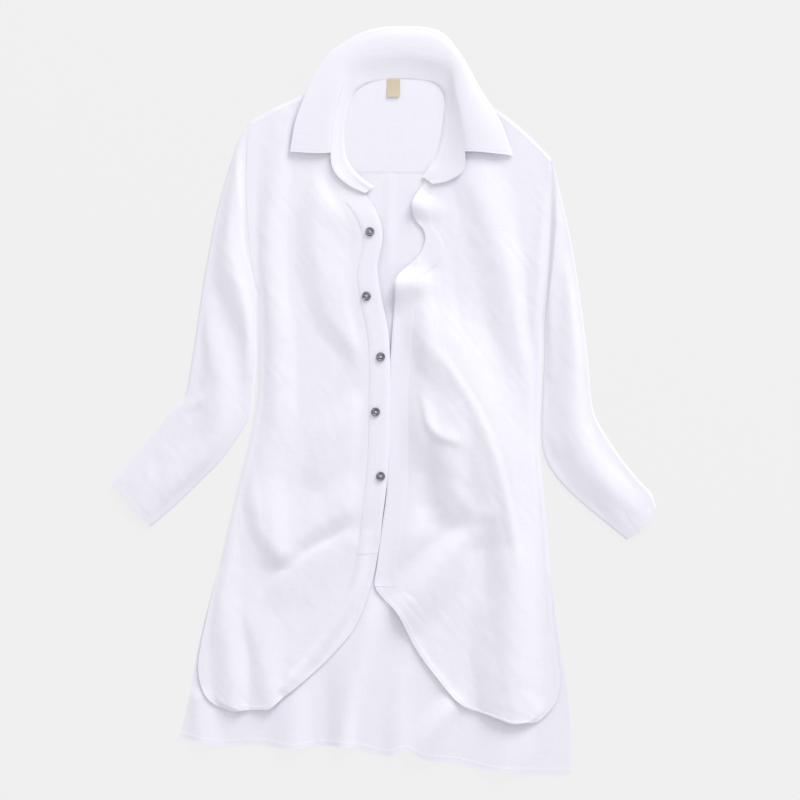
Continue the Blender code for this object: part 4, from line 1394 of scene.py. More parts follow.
# Sewing
@dataclass
class Stitching:
    """Rows of machine stitches laid along lines on the cloth.

    Attributes:
        finish: Material of the thread.
        pitch: Distance from one stitch to the next, in metres.
        length: Length of a stitch, in metres.
        radius: Radius of the thread, in metres.
        lift: Height of the thread's middle over the cloth, in millimetres.
        segments: Sides of a stitch.
        rings: Steps from one end of a stitch to the other.
    """

    finish: bpy.types.Material
    pitch: float = 0.0032
    length: float = 0.0025
    radius: float = 0.00026
    lift: float = 0.1
    segments: int = 6
    rings: int = 4

    def tree(self) -> bpy.types.NodeTree:
        """Makes the node tree that turns lines into stitches.

        Returns:
            The tree, with the stitch's sizes as its named inputs.
        """
        tree = bpy.data.node_groups.new("Stitches", "GeometryNodeTree")
        tree.interface.new_socket("Geometry", in_out="INPUT", socket_type="NodeSocketGeometry")
        for name in ("Pitch", "Length", "Radius"):
            tree.interface.new_socket(name, in_out="INPUT", socket_type="NodeSocketFloat")
        tree.interface.new_socket("Geometry", in_out="OUTPUT", socket_type="NodeSocketGeometry")

        def made(kind: str, inputs: dict | None = None, **settings: object) -> bpy.types.NodeSocket:
            """Adds a node to the tree and gives its first output."""
            return add_node(tree, kind, inputs, **settings).outputs[0]

        given = add_node(tree, "NodeGroupInput").outputs
        line = made("GeometryNodeMeshToCurve", {"Mesh": given["Geometry"]})
        steps = {"Curve": line, "Length": given["Pitch"]}
        spots = made("GeometryNodeResampleCurve", steps, mode="LENGTH")
        half = made("ShaderNodeMath", {0: given["Length"], 1: 0.5}, operation="MULTIPLY")
        size = made("ShaderNodeCombineXYZ", {"X": half, "Y": given["Radius"], "Z": given["Radius"]})
        sizes = {"Segments": self.segments, "Rings": self.rings, "Radius": 1.0}
        ball = made("GeometryNodeMeshUVSphere", sizes)
        stitch = made("GeometryNodeTransform", {"Geometry": ball, "Scale": size})
        tangent = made("GeometryNodeInputTangent")
        turn = made("FunctionNodeAlignRotationToVector", {"Vector": tangent}, axis="X")
        copies = {"Points": spots, "Instance": stitch, "Rotation": turn}
        placed = made("GeometryNodeInstanceOnPoints", copies)
        real = made("GeometryNodeRealizeInstances", {"Geometry": placed})
        dressed = made("GeometryNodeSetMaterial", {"Geometry": real, "Material": self.finish})
        add_node(tree, "NodeGroupOutput", {"Geometry": dressed})
        return tree

    def piece(self, name: str, lines: list[Array]) -> bpy.types.Object:
        """Sews along the lines.

        Args:
            name: Name of the piece.
            lines: Lines of points on the cloth, in millimetres.

        Returns:
            One plain mesh of stitches, riding on the dress.
        """
        edges = []
        start = 0
        for line in lines:
            edges += [(number, number + 1) for number in range(start, start + len(line) - 1)]
            start += len(line)
        mesh = bpy.data.meshes.new(name + "_path")
        mesh.from_pydata((np.concatenate(lines) * MM).tolist(), edges, [])
        path = add_object(name + "_path", mesh)
        modifier = path.modifiers.new("Stitches", "NODES")
        tree = self.tree()
        modifier.node_group = tree
        sizes = {"Pitch": self.pitch, "Length": self.length, "Radius": self.radius}
        for item in tree.interface.items_tree:
            if item.in_out == "INPUT" and item.name in sizes:
                modifier[item.identifier] = sizes[item.name]
        made = add_object(name, plain_mesh(path))
        made.data.shade_smooth()
        bpy.data.objects.remove(path)
        return declared(made, "linen")


# Body
@dataclass
class Back:
    """Lower back, flat on the table, and the yoke over it.

    Attributes:
        rows: Steps of the lower back, from its yoke seam to its hem.
        columns: Steps across it.
        clear: Distance between its last even step and the fold of its hem.
        yoke_rows: Steps of the yoke, from its seam to the shoulders.
        yoke_columns: Steps across it.
    """

    rows: int = 205
    columns: int = 120
    clear: float = 3
    yoke_rows: int = 36
    yoke_columns: int = 100

    def spread(self, across: Array, y: Array) -> Array:
        """X of points at their shares of the way from the left side edge to the right one."""
        left = side_x(Side.LEFT, y)
        return left + across * (side_x(Side.RIGHT, y) - left)

    def height(self, x: Array, y: Array) -> Array:
        """Works out the height of the cloth's under side, flat on the table but for its folds.

        Args:
            x: Places of the points across the dress.
            y: Places of the points along the dress.

        Returns:
            Height under each point.
        """
        shown = eased((SHOWN_HEM_Y - y) / SHOWN_HEM_RUN) + eased((y - SHOWN_NECK_Y) / SHOWN_NECK_RUN)
        height = ridged(BACK_RIDGES, x, y) + BACK_CREASE * shown * crumpled(x + BACK_CREASE_SHIFT, y)
        return smooth_max(height, 0, BACK_BLEND) - BACK_BLEND / 2

    def panel(self) -> Shell:
        """Makes the lower back.

        Returns:
            Its cloth, from the yoke seam to the hem.
        """
        share = np.linspace(0, 1, self.rows + 1)[:, None]
        across = np.linspace(0, 1, self.columns + 1)[None, :]
        run = YOKE_SEAM_Y - edge_curve(BACK_HEM, across)[1]
        even = share * (run - HEM_WIDTH - self.clear)
        down = np.concatenate([even, run - np.array(NEAR_HEM)[:, None]])
        y = YOKE_SEAM_Y - down
        x = self.spread(across, y)
        lower = raised(x, y, self.height(x, y))
        thick = PLY + BACK_HEM_RISE * in_hem(run - down)
        return Shell(lower, lower + thick[..., None] * normals(lower), on_cloth(x, y))

    def yoke(self) -> Shell:
        """Makes the upper back.

        Returns:
            Its cloth, from the yoke seam to the shoulders.
        """
        up = np.linspace(0, 1, self.yoke_rows + 1)[:, None]
        across = np.linspace(0, 1, self.yoke_columns + 1)[None, :]
        edge_x, edge_y = edge_curve(YOKE_TOP_EDGE, across)
        low_y = YOKE_SEAM_Y + SEWN_GAP
        y = low_y + up * (edge_y - low_y)
        x = self.spread(across, y)
        x = x + eased(up) * (edge_x - x)
        lower = raised(x, y, 0 * y)
        swell = YOKE_SWELL * eased((y - low_y) / YOKE_SWELL_RUN) * (1 + crumpled(x, y))
        return Shell(lower, lifted(lower, PLY + YOKE_RISE + swell), on_cloth(x, y))

    def stitch_lines(self, panel: Shell, yoke: Shell, lift: float) -> list[Array]:
        """Finds where the back is sewn.

        Args:
            panel: The lower back.
            yoke: The upper back.
            lift: Height of the thread over the cloth.

        Returns:
            Lines of stitches along the hem and the yoke seam.
        """
        return [
            line_across(panel.upper, walked_back(panel.upper, 0), HEM_STITCH, lift),
            line_across(yoke.upper, walked(yoke.upper, 0), EDGE_STITCH, lift),
        ]


@dataclass
class Front:
    """One front, from its side seam and shoulder to its front edge and curved hem.

    Attributes:
        side: Side of the dress.
        sections: Lines of cloth across it, from the shoulder down.
        ridges: Its ridges and troughs.
        shoulder_bow: Height of the shoulder line's curve.
        placket_span: First and last section of its placket.
        rows: Steps from the shoulder to the hem.
        columns: Steps from the side to the placket.
        clear: Distance between its last even step and the fold of its hem.
    """

    side: Side
    sections: tuple[FrontSection, ...]
    ridges: Ridges
    shoulder_bow: float
    placket_span: tuple[int, int]
    rows: int = 255
    columns: int = 76
    clear: float = 4

    def __post_init__(self) -> None:
        """Works out the places of the points and then their heights."""
        self.place()
        lower = raised(self.x, self.y, self.heights())
        out = normals(lower)
        top = lower + (FRONT_TOP - FRONT_FLOOR) * out
        free = np.minimum(self.from_hem, np.where(self.below_placket, self.from_edge, np.inf))
        self.under_side = top - PLY * out
        self.upper_side = top + (HEM_RISE * in_hem(free))[..., None] * out

    def place(self) -> None:
        """Works out where each point lies, and how far it is from each edge."""
        side_y, _, edge_x, edge_y = np.array(self.sections, float).T
        steps = np.maximum(np.abs(np.diff(side_y)), np.hypot(np.diff(edge_x), np.diff(edge_y)))
        walk = np.concatenate([[0], np.cumsum(steps)])
        even = np.linspace(NEAR_SEAM[-1], walk[-1] - (HEM_WIDTH + self.clear), self.rows)
        spots = np.concatenate([NEAR_SEAM[:-1], even, walk[-1] - np.array(NEAR_HEM)])
        levels = np.interp(spots, walk, np.arange(len(self.sections)))
        side_y, inset, edge_x, edge_y = through_sections(self.sections, levels)
        start_x = side_x(self.side, side_y) - self.side.value * inset
        run_x = (edge_x - start_x)[:, None]
        run_y = (edge_y - side_y)[:, None]
        length = np.hypot(run_x, run_y)
        near_side = np.array(NEAR_SEAM) / length
        first = near_side[:, -1:]
        last = 1 - (PLACKET_WIDTH + HEM_STEP) / length
        body = first + np.linspace(0, 1, self.columns + 1)[1:] * (last - first)
        share = np.concatenate([near_side, body, 1 - np.array(PLACKET_COLUMNS) / length], axis=1)
        bow = self.shoulder_bow * (1 - eased(levels / SHOULDER_SECTIONS))[:, None]
        self.x = start_x[:, None] + run_x * share
        self.y = side_y[:, None] + run_y * share + bow * 4 * share * (1 - share)
        self.grain = on_cloth(self.x, self.y)
        self.from_side = share * length
        self.from_edge = (1 - share) * length
        flat = raised(self.x, self.y, 0 * self.x)
        self.from_shoulder = walked(flat, 0)
        self.from_hem = walked_back(flat, 0)
        self.below_placket = (levels > self.placket_span[1])[:, None]
        top, bottom = np.searchsorted(levels, self.placket_span)
        self.band = (slice(top, bottom + 1), slice(-len(PLACKET_COLUMNS), None))
        self.tail = slice(bottom + 2, None)

    def kept(self) -> Array:
        """Works out how the folds flatten towards the seams and the placket.

        Returns:
            Share of their height that they keep at each point.
        """
        near_side = eased(self.from_side / SIDE_FADE)
        if self.side is Side.RIGHT:
            free = eased((self.y - FREE_EDGE_Y) / FREE_EDGE_RUN)
            free += eased((FREE_HEM_Y - self.y) / FREE_HEM_RUN)
            return near_side * np.maximum(free, eased((self.from_edge - FREE_EDGE_FLAT) / EDGE_FADE))
        tail = 1 - eased((self.y - LAP_HEM_Y) / LAP_HEM_RUN)
        beside = eased((self.from_edge - PLACKET_WIDTH) / PLACKET_FADE)
        return np.maximum(near_side * beside, tail * near_side)

    def lap(self) -> Array:
        """Works out how far the left front is lifted where it laps over the right one.

        Returns:
            Lift at each point, which is nothing on the right front.
        """
        if self.side is Side.RIGHT:
            return 0 * self.x
        near_edge = 1 - eased((self.from_edge - PLACKET_WIDTH) / LAP_RAMP)
        below_neck = eased((LAP_NECK_Y - self.y) / LAP_NECK_RUN)
        above_hem = eased((self.y - LAP_HEM_Y) / LAP_HEM_RUN)
        settled = LAP_DROOP * (1 - eased(self.from_edge / LAP_DROOP_RUN))
        return (LAP_LIFT * near_edge - settled) * below_neck * above_hem

    def heights(self) -> Array:
        """Works out the height of the solid's under side, with the finer creases.

        Returns:
            Height at each point, which falls to the back's at the side seam and the shoulder.
        """
        x, y, kept = self.x, self.y, self.kept()
        covered = ridged(BACK_RIDGES, x, y) + TAIL_LIFT * eased((TAIL_Y - y) / TAIL_RUN)
        relief = kept * (ridged(self.ridges, x, y) + crumpled(x, y))
        lying = smooth_max(relief, 0, FOLD_BLEND) - FOLD_BLEND / 2 * kept + self.lap() + covered
        z = FRONT_FLOOR + lying
        below_slit = 1 - eased((y - SLIT_Y) / SLIT_RUN)
        sewn = np.minimum(self.from_side + SLIT_FREE * below_slit, self.from_shoulder)
        at_armhole = eased((y - ARMHOLES[self.side].underarm_y) / SEAM_RUN)
        body_seam = 1 - at_armhole * eased(self.from_shoulder / SEAM_RUN)
        turned_down = body_seam * (1 - eased(sewn / SEAM_TURN))
        return z - turned_down * (z - BACK_TOP - SEAM_REST + (FRONT_TOP - FRONT_FLOOR - PLY))

    def cloth(self) -> Shell:
        """The front itself."""
        return Shell(self.under_side, self.upper_side, self.grain)

    def placket(self) -> Shell:
        """Makes the sewn band along the front edge, a little thicker than the cloth it is folded from.

        Returns:
            The band, thin at its ends and at its long edges.
        """
        out = normals(self.upper_side)[self.band]
        base = self.upper_side[self.band]
        from_edge = self.from_edge[self.band]
        from_end = np.minimum(walked(base, 0), walked_back(base, 0))
        full = eased((PLACKET_WIDTH - from_edge) / PLACKET_EDGE_RUN) * eased(from_end / PLACKET_END_RUN)
        full *= PLACKET_FOLD + (1 - PLACKET_FOLD) * eased(from_edge / PLACKET_FOLD_RUN)
        thick = PLACKET_EDGE_PLY + (PLACKET_PLY - PLACKET_EDGE_PLY) * full
        upper = base + (SEWN_GAP + thick)[..., None] * out
        return Shell(base + SEWN_GAP * out, upper, self.grain[self.band])

    def stitch_lines(self, lift: float) -> list[Array]:
        """Finds where the front is sewn.

        Args:
            lift: Height of the thread over the cloth.

        Returns:
            Lines of stitches along the placket, the hem, the shoulder, and the armhole and side seam.
        """
        top = self.placket().upper
        beside = self.from_edge[self.band]
        grid = self.upper_side
        lines = [
            line_at(top, beside, PLACKET_STITCH, lift),
            line_at(top, beside, PLACKET_WIDTH - PLACKET_STITCH, lift),
            line_at(grid[self.tail], self.from_edge[self.tail], HEM_STITCH, lift),
            line_across(grid, self.from_hem, HEM_STITCH, lift),
            line_across(grid, self.from_shoulder, SEAM_STITCH, lift),
            line_at(grid, self.from_side, SEAM_STITCH, lift),
        ]
        return [line for line in lines if len(line) > 2]


# Sleeves
@dataclass
class Sleeve:
    """One sleeve, a flattened tube that is open at the armhole and at the cuff.

    Attributes:
        side: Side of the dress.
        sections: Lines across it, from the armhole to the cuff.
        ridges: Its ridges and troughs.
        rows: Steps along it.
        across: Steps across its upper side.
        edge_turn: Distance from its long edges over which it reaches its full height.
    """

    side: Side
    sections: tuple[SleeveSection, ...]
    ridges: Ridges
    rows: int = 175
    across: int = 40
    edge_turn: float = 4.0

    def ring(self, inset: float) -> Array:
        """Makes the rings round the sleeve, from the armhole to the cuff.

        Args:
            inset: How far the rings are drawn in from the outer side.

        Returns:
            One row of points for each ring, over the top and back along the bottom.
        """
        levels = np.linspace(0, len(self.sections) - 1, self.rows + 1)
        outer_x, outer_y, inner_x, inner_y, bow = through_sections(self.sections, levels)
        run_x = (inner_x - outer_x)[:, None]
        run_y = (inner_y - outer_y)[:, None]
        length = np.hypot(run_x, run_y)
        even = np.linspace(0, 1, self.across + 1)[None, :]
        spread = 0.5 - 0.5 * np.cos(np.pi * even)
        share = (1 - SLEEVE_CROWDING) * even + SLEEVE_CROWDING * spread
        held = inset / length + share * (1 - 2 * inset / length)
        swell = 4 * held * (1 - held) * bow[:, None]
        out = self.side.value
        x = outer_x[:, None] + run_x * held - out * swell * run_y / length + out * SEAM_GAP / 2
        y = outer_y[:, None] + run_y * held + out * swell * run_x / length
        from_fold = np.minimum(share, 1 - share) * length / self.edge_turn
        turn = np.sqrt(np.clip(1 - (1 - np.minimum(from_fold, 1)) ** 2, 0, 1))
        spine = raised((outer_x + inner_x) / 2, (outer_y + inner_y) / 2, 0 * outer_x)[:, None]
        top = self.top(x, y, share, walked(spine, 0))
        middle = SLEEVE_EDGE_HEIGHT / 2
        high = middle + (top - inset - middle) * turn
        low = middle + (inset - middle) * turn
        return np.concatenate([raised(x, y, high), raised(x, y, low)[:, -2:0:-1]], axis=1)

    def top(self, x: Array, y: Array, share: Array, along: Array) -> Array:
        """Works out the upper side: a low loft with the folds on it, level with the body at the armhole.

        Args:
            x: Places of the points across the dress.
            y: Places of the points along the dress.
            share: How far each point is across the sleeve, from 0 to 1.
            along: Distance of each row from the armhole.

        Returns:
            Height at each point.
        """
        loft = SLEEVE_LOFT * np.sin(np.pi * share) ** SLEEVE_FULLNESS
        kept = eased(SLEEVE_RIDGE_RUN * share * (1 - share))
        creases = crumpled(x + SLEEVE_CREASE_SHIFT[0], y + SLEEVE_CREASE_SHIFT[1])
        height = kept * (ridged(self.ridges, x, y) + creases) + loft
        risen = SLEEVE_EDGE_HEIGHT + smooth_max(height, 0, FOLD_BLEND) - FOLD_BLEND / 2
        return FRONT_TOP + SEWN_GAP + eased(along / SLEEVE_HEAD_RUN) * (risen - FRONT_TOP - SEWN_GAP)

    def cloth(self) -> Shell:
        """Makes the sleeve itself.

        Returns:
            Its cloth, as a tube.
        """
        outer = self.ring(0)
        grain = on_cloth(walked(outer, 1), walked(outer, 0))
        return Shell(self.ring(PLY), outer, grain, tube=True)

    def stitch_lines(self, outer: Array, lift: float) -> list[Array]:
        """Finds where the sleeve is sewn.

        Args:
            outer: Its outer side.
            lift: Height of the thread over the cloth.

        Returns:
            The line of stitches across the upper side, near the cuff.
        """
        half = slice(1, self.across)
        return [line_across(outer[:, half], walked_back(outer, 0)[:, half], CUFF_STITCH, lift)]


# Collar
@dataclass
class Collar:
    """Stand round the neck and the leaf that turns over it.

    Attributes:
        on: Height of what the leaf's wings lie on.
        finer: Steps between two sections of their tables.
        stand_steps: Steps from the neck seam to the top of the stand.
        turn_steps: Steps of the edge that covers the neck seam.
        leaf_steps: Steps from the top of the stand to the leaf's edge.
        seam_thin: Thickness of the first columns, as shares of the sewn plies.
        top_thin: Thickness of the stand's last columns.
        edge_thin: Thickness of the leaf's last columns.
    """

    on: HeightMap
    finer: int = 8
    stand_steps: int = 14
    turn_steps: int = 4
    leaf_steps: int = 40
    seam_thin: tuple[float, ...] = (0.3, 0.5, 0.8)
    top_thin: tuple[float, ...] = (0.7, 0.5, 0.3)
    edge_thin: tuple[float, ...] = (0.9, 0.8, 0.6)

    def rows(self) -> tuple[Array, Array, Array, Array]:
        """Works out the middle surface of the collar as four lines.

        Returns:
            The neck seam, the top of the stand, and the roll and the edge of the leaf.
        """
        tables = (COLLAR_STAND, COLLAR_LEAF)
        stand, leaf = (through_sections(table, levels_of(table, self.finer)) for table in tables)
        seam_x, seam_y, lies_on, *top = stand
        seam = raised(seam_x, seam_y, lies_on + COLLAR_PLY / 2 + SEWN_GAP)
        return seam, raised(*top), raised(*leaf[:3]), raised(*leaf[3:])

    def stand(self) -> Shell:
        """Makes the band round the neck, with a free tab at each end.

        Returns:
            The band, which lies low at its seam, covers it and rises towards its top.
        """
        seam, top, _, _ = self.rows()
        share = np.linspace(0, 1, self.stand_steps + 1)[None, :, None]
        middle = seam[:, None] + share * (top - seam)[:, None]
        middle[..., 2] -= STAND_HOLLOW * np.sin(np.pi * share[..., 0])
        inward = (seam - top) * (1, 1, 0)
        inward /= np.linalg.norm(inward, axis=-1, keepdims=True)
        turned = np.linspace(1, 1 / self.turn_steps, self.turn_steps)[None, :, None]
        on_front = np.clip((seam[:, 2] - BACK_TOP - 1) / (FRONT_TOP - BACK_TOP), NECK_COVER_LEAST, 1)
        covering = seam[:, None] + turned * NECK_COVER * (on_front[:, None] * inward)[:, None]
        highest = FRONT_TOP + COLLAR_PLY / 2 + SEWN_GAP
        drop = np.minimum(seam[:, 2], highest) - BACK_TOP - COLLAR_PLY - SEWN_GAP
        covering[..., 2] -= eased(turned[..., 0]) * np.maximum(drop, 0)[:, None]
        return self.wall(np.concatenate([covering, middle], axis=1), self.top_thin)

    def leaf(self) -> Shell:
        """Makes the leaf, which opens back behind the neck and turns over in a wing at each side.

        Returns:
            The leaf, from the top of the stand to its free edge.
        """
        _, top, roll, edge = self.rows()
        first = LEAF_FIRST_STAND * self.finer
        start = top[first : first + len(roll)]
        towards = roll - start
        towards /= np.linalg.norm(towards, axis=-1, keepdims=True)
        lines = zip(start + LEAF_START * towards, roll, edge)
        share = np.linspace(0, 1, self.leaf_steps + 1)
        middle = np.array([smooth_curve(share, (0, ROLL_SHARE, 1), line) for line in lines])
        past_roll = np.clip((share - ROLL_SHARE) / (1 - ROLL_SHARE), 0, 1)[None, :]
        crowned = roll[:, None, 2] + past_roll**LEAF_CROWN * (edge - roll)[:, None, 2]
        z = np.where(share > ROLL_SHARE, crowned, middle[..., 2])
        floor = self.on.at(middle[..., 0], middle[..., 1]) + LEAF_CLEARANCE
        over = eased((share - ROLL_SHARE) / LEAF_SETTLE)[None, :]
        middle[..., 2] = z + over * (smooth_max(z, floor, LEAF_BLEND) - z)
        return self.wall(middle, self.edge_thin)

    def stitch_lines(self, stand: Shell, leaf: Shell, lift: float) -> list[Array]:
        """Finds where the collar is sewn.

        Args:
            stand: The stand.
            leaf: The leaf.
            lift: Height of the thread over the cloth.

        Returns:
            Lines of stitches along both long edges of the stand and the free edges of the leaf.
        """
        from_seam = walked(stand.upper, 1)
        from_seam = from_seam - from_seam[:, self.turn_steps :][:, :1]
        lines = [line_at(stand.upper, from_seam, EDGE_STITCH, lift)]
        lines.append(line_at(stand.upper, walked_back(stand.upper, 1), EDGE_STITCH, lift))
        from_edge = walked_back(leaf.upper, 1)
        from_end = np.minimum(walked(leaf.upper, 0), walked_back(leaf.upper, 0))
        inner = from_end[:, -1] > LEAF_STITCH
        lines.append(line_at(leaf.upper[inner], from_edge[inner], LEAF_STITCH, lift))
        half = len(leaf.upper) // 2
        for rows, end in ((slice(None, half), 0), (slice(half, None), -1)):
            kept = from_edge[end] > LEAF_STITCH
            wing = leaf.upper[rows][:, kept]
            lines.append(line_across(wing, from_end[rows][:, kept], LEAF_STITCH, lift))
        return lines

    def wall(self, middle: Array, last_thin: tuple[float, ...]) -> Shell:
        """Makes a wall of sewn plies round a middle surface.

        Args:
            middle: Points of the middle surface.
            last_thin: Thickness of its last columns, as shares of the sewn plies.

        Returns:
            The wall, which is thinner in its first and last columns.
        """
        thin = np.ones(middle.shape[1])
        thin[: len(self.seam_thin)] = self.seam_thin
        thin[-len(last_thin) :] = last_thin
        out = (COLLAR_PLY / 2 * thin)[None, :, None] * normals(middle)
        return Shell(middle - out, middle + out, on_cloth(walked(middle, 0), walked(middle, 1)))


# Trims
@dataclass
class Label:
    """Blank label that hangs from the neck seam over the yoke.

    Attributes:
        steps_down: Steps from its top to its free end.
        steps_across: Steps across it.
    """

    steps_down: int = 26
    steps_across: int = 18

    def cloth(self) -> Shell:
        """Makes the label, its free end slightly curled.

        Returns:
            The tape.
        """
        down = np.linspace(0, 1, self.steps_down + 1)[:, None]
        across = np.linspace(-0.5, 0.5, self.steps_across + 1)[None, :]
        x = LABEL_X + LABEL_WIDTH * across + 0 * down
        y = LABEL_TOP_Y - LABEL_LENGTH * down + 0 * across
        lower = raised(x, y, BACK_TOP + LABEL_GAP + LABEL_CURL * down**3 + 0 * across)
        return Shell(lower, lifted(lower, LABEL_PLY), on_cloth(x, y))

    def stitch_lines(self, tape: Shell, lift: float) -> list[Array]:
        """Line of stitches across the label's top."""
        return [line_across(tape.upper, walked(tape.upper, 0), EDGE_STITCH, lift)]


@dataclass
class Button:
    """Round four-hole button with a raised rim and a dished middle, sewn on with crossed thread.

    Attributes:
        x: Place of its middle.
        y: Place of its middle.
        z: Height of its under side.
        cloth_z: Height of the cloth below it, where its thread ends.
        sides: Sides of its rings.
        hole_place: Distance of each hole from the middle.
        hole_radius: Radius of a hole.
        hole_sides: Sides of a hole.
        drill_span: Lowest and highest end of the drill that cuts a hole.
        thread_radius: Radius of the bundle of thread through a hole.
        thread_rest: Height at which the thread crosses the dish, as a share of the button's.
        thread_cross: Height of one crossing over the other, in radii of the thread.
        thread_sunk: Depth of the thread's ends in the cloth.
    """

    x: float
    y: float
    z: float
    cloth_z: float
    sides: int = 48
    hole_place: float = 1.55
    hole_radius: float = 0.85
    hole_sides: int = 12
    drill_span: tuple[float, float] = (-1, 4)
    thread_radius: float = 0.42
    thread_rest: float = 0.66
    thread_cross: float = 1.6
    thread_sunk: float = 0.1

    def profile(self) -> list[tuple[float, float]]:
        """Radius and height of the turned outline, from the middle of the under side to the dish."""
        turned = [(BUTTON_RADIUS - point.inset, point.height * BUTTON_HEIGHT) for point in BUTTON_PROFILE]
        return [(0, 0), *turned, (0, BUTTON_DISH * BUTTON_HEIGHT)]

    def solid(
        self, profile: list[tuple[float, float]], sides: int, x: float, y: float
    ) -> bmesh.types.BMesh:
        """Makes a turned solid.

        Args:
            profile: Radius and height, from the axis below to the axis above.
            sides: Sides of its rings.
            x: Place of its axis.
            y: Place of its axis.

        Returns:
            The closed solid, in millimetres.
        """
        turns = [(math.cos(a), math.sin(a)) for a in np.linspace(0, 2 * np.pi, sides, endpoint=False)]
        made = bmesh.new()
        rings = [
            [made.verts.new((x + radius * cos, y + radius * sin, height)) for cos, sin in turns]
            for radius, height in profile[1:-1]
        ]
        low = made.verts.new((x, y, profile[0][1]))
        high = made.verts.new((x, y, profile[-1][1]))
        for number in range(sides):
            after = (number + 1) % sides
            made.faces.new((low, rings[0][after], rings[0][number]))
            made.faces.new((high, rings[-1][number], rings[-1][after]))
            for below, above in zip(rings[:-1], rings[1:]):
                made.faces.new((below[number], below[after], above[after], above[number]))
        return made

    def hole_places(self) -> list[tuple[float, float]]:
        """Places of the four holes, from the button's middle."""
        turns = [math.radians(45 + 90 * number) for number in range(4)]
        return [(self.hole_place * math.cos(turn), self.hole_place * math.sin(turn)) for turn in turns]

    def disc(self, name: str, node: str, finish: bpy.types.Material) -> bpy.types.Object:
        """Makes the disc with its four holes cut.

        Args:
            name: Name of the piece.
            node: Solid that it stands for.
            finish: Its material.

        Returns:
            The disc, riding on the dress.
        """
        blank = self.placed(name, self.solid(self.profile(), self.sides, 0, 0), finish)
        low, high = self.drill_span
        outline = [(0, low), (self.hole_radius, low), (self.hole_radius, high), (0, high)]
        drills = bmesh.new()
        for x, y in self.hole_places():
            drill = self.solid(outline, self.hole_sides, x, y)
            part = bpy.data.meshes.new("drill")
            drill.to_mesh(part)
            drills.from_mesh(part)
            bpy.data.meshes.remove(part)
            drill.free()
        cutter = self.placed("drills", drills, finish)
        cut = blank.modifiers.new("Holes", "BOOLEAN")
        cut.operation = "DIFFERENCE"
        cut.object = cutter
        mesh = plain_mesh(blank)
        blank.modifiers.clear()
        blank.data = mesh
        mesh.name = name
        mesh.shade_smooth()
        mesh.set_sharp_from_angle(angle=BUTTON_EDGE_ANGLE)
        bpy.data.objects.remove(cutter)
        return declared(blank, "button", node)

    def placed(
        self, name: str, solid: bmesh.types.BMesh, finish: bpy.types.Material
    ) -> bpy.types.Object:
        """Adds a solid at the button's place.

        Args:
            name: Name of the object.
            solid: The solid, in millimetres from the button's middle, which is used up.
            finish: Its material.

        Returns:
            The new object.
        """
        bmesh.ops.translate(solid, verts=solid.verts, vec=(self.x, self.y, self.z))
        bmesh.ops.scale(solid, verts=solid.verts, vec=(MM, MM, MM))
        mesh = bpy.data.meshes.new(name)
        solid.to_mesh(mesh)
        solid.free()
        mesh.materials.append(finish)
        return add_object(name, mesh)

    def thread_paths(self) -> list[Array]:
        """Works out two crossed loops of thread.

        Returns:
            For each loop its points, up through one hole and down through the one across.
        """
        holes = np.array(self.hole_places())
        deck = self.thread_rest * BUTTON_HEIGHT + self.thread_radius
        foot = self.cloth_z - self.z - self.thread_sunk
        # Share of a hole's distance from the middle, and height, at each point on the way up
        rise = ((0.6, foot), (1, 0.5), (1, deck - 0.5), (0.8, deck + 0.05))
        paths = []
        for number, (start, end) in enumerate(zip(holes[:2], holes[2:])):
            up = [(*(start * share), height) for share, height in rise]
            down = [(*(end * share), height) for share, height in reversed(rise)]
            over = deck + number * self.thread_cross * self.thread_radius
            paths.append(np.array([*up, (0, 0, over), *down]) + (self.x, self.y, self.z))
        return paths


def corded(
    name: str, paths: list[Array], radius: float, finish: bpy.types.Material
) -> bpy.types.Object:
    """Makes round threads along smooth paths.

    Args:
        name: Name of the piece.
        paths: Lines of points, in millimetres.
        radius: Radius of each thread, in millimetres.
        finish: Its material.

    Returns:
        One plain mesh of all the threads, riding on the dress.
    """
    curve = bpy.data.curves.new(name, "CURVE")
    curve.dimensions = "3D"
    curve.bevel_depth = radius * MM
    curve.bevel_resolution = 2
    curve.use_fill_caps = True
    for path in paths:
        points = smooth_curve(levels_of(path, THREAD_STEPS), np.arange(len(path)), path) * MM
        spline = curve.splines.new("POLY")
        spline.points.add(len(points) - 1)
        for spot, point in zip(spline.points, points):
            spot.co = (*point, 1)
    holder = add_object(name + "_path", curve)
    made = add_object(name, plain_mesh(holder))
    made.data.materials.clear()
    made.data.materials.append(finish)
    made.data.shade_smooth()
    bpy.data.objects.remove(holder)
    return declared(made, "linen")


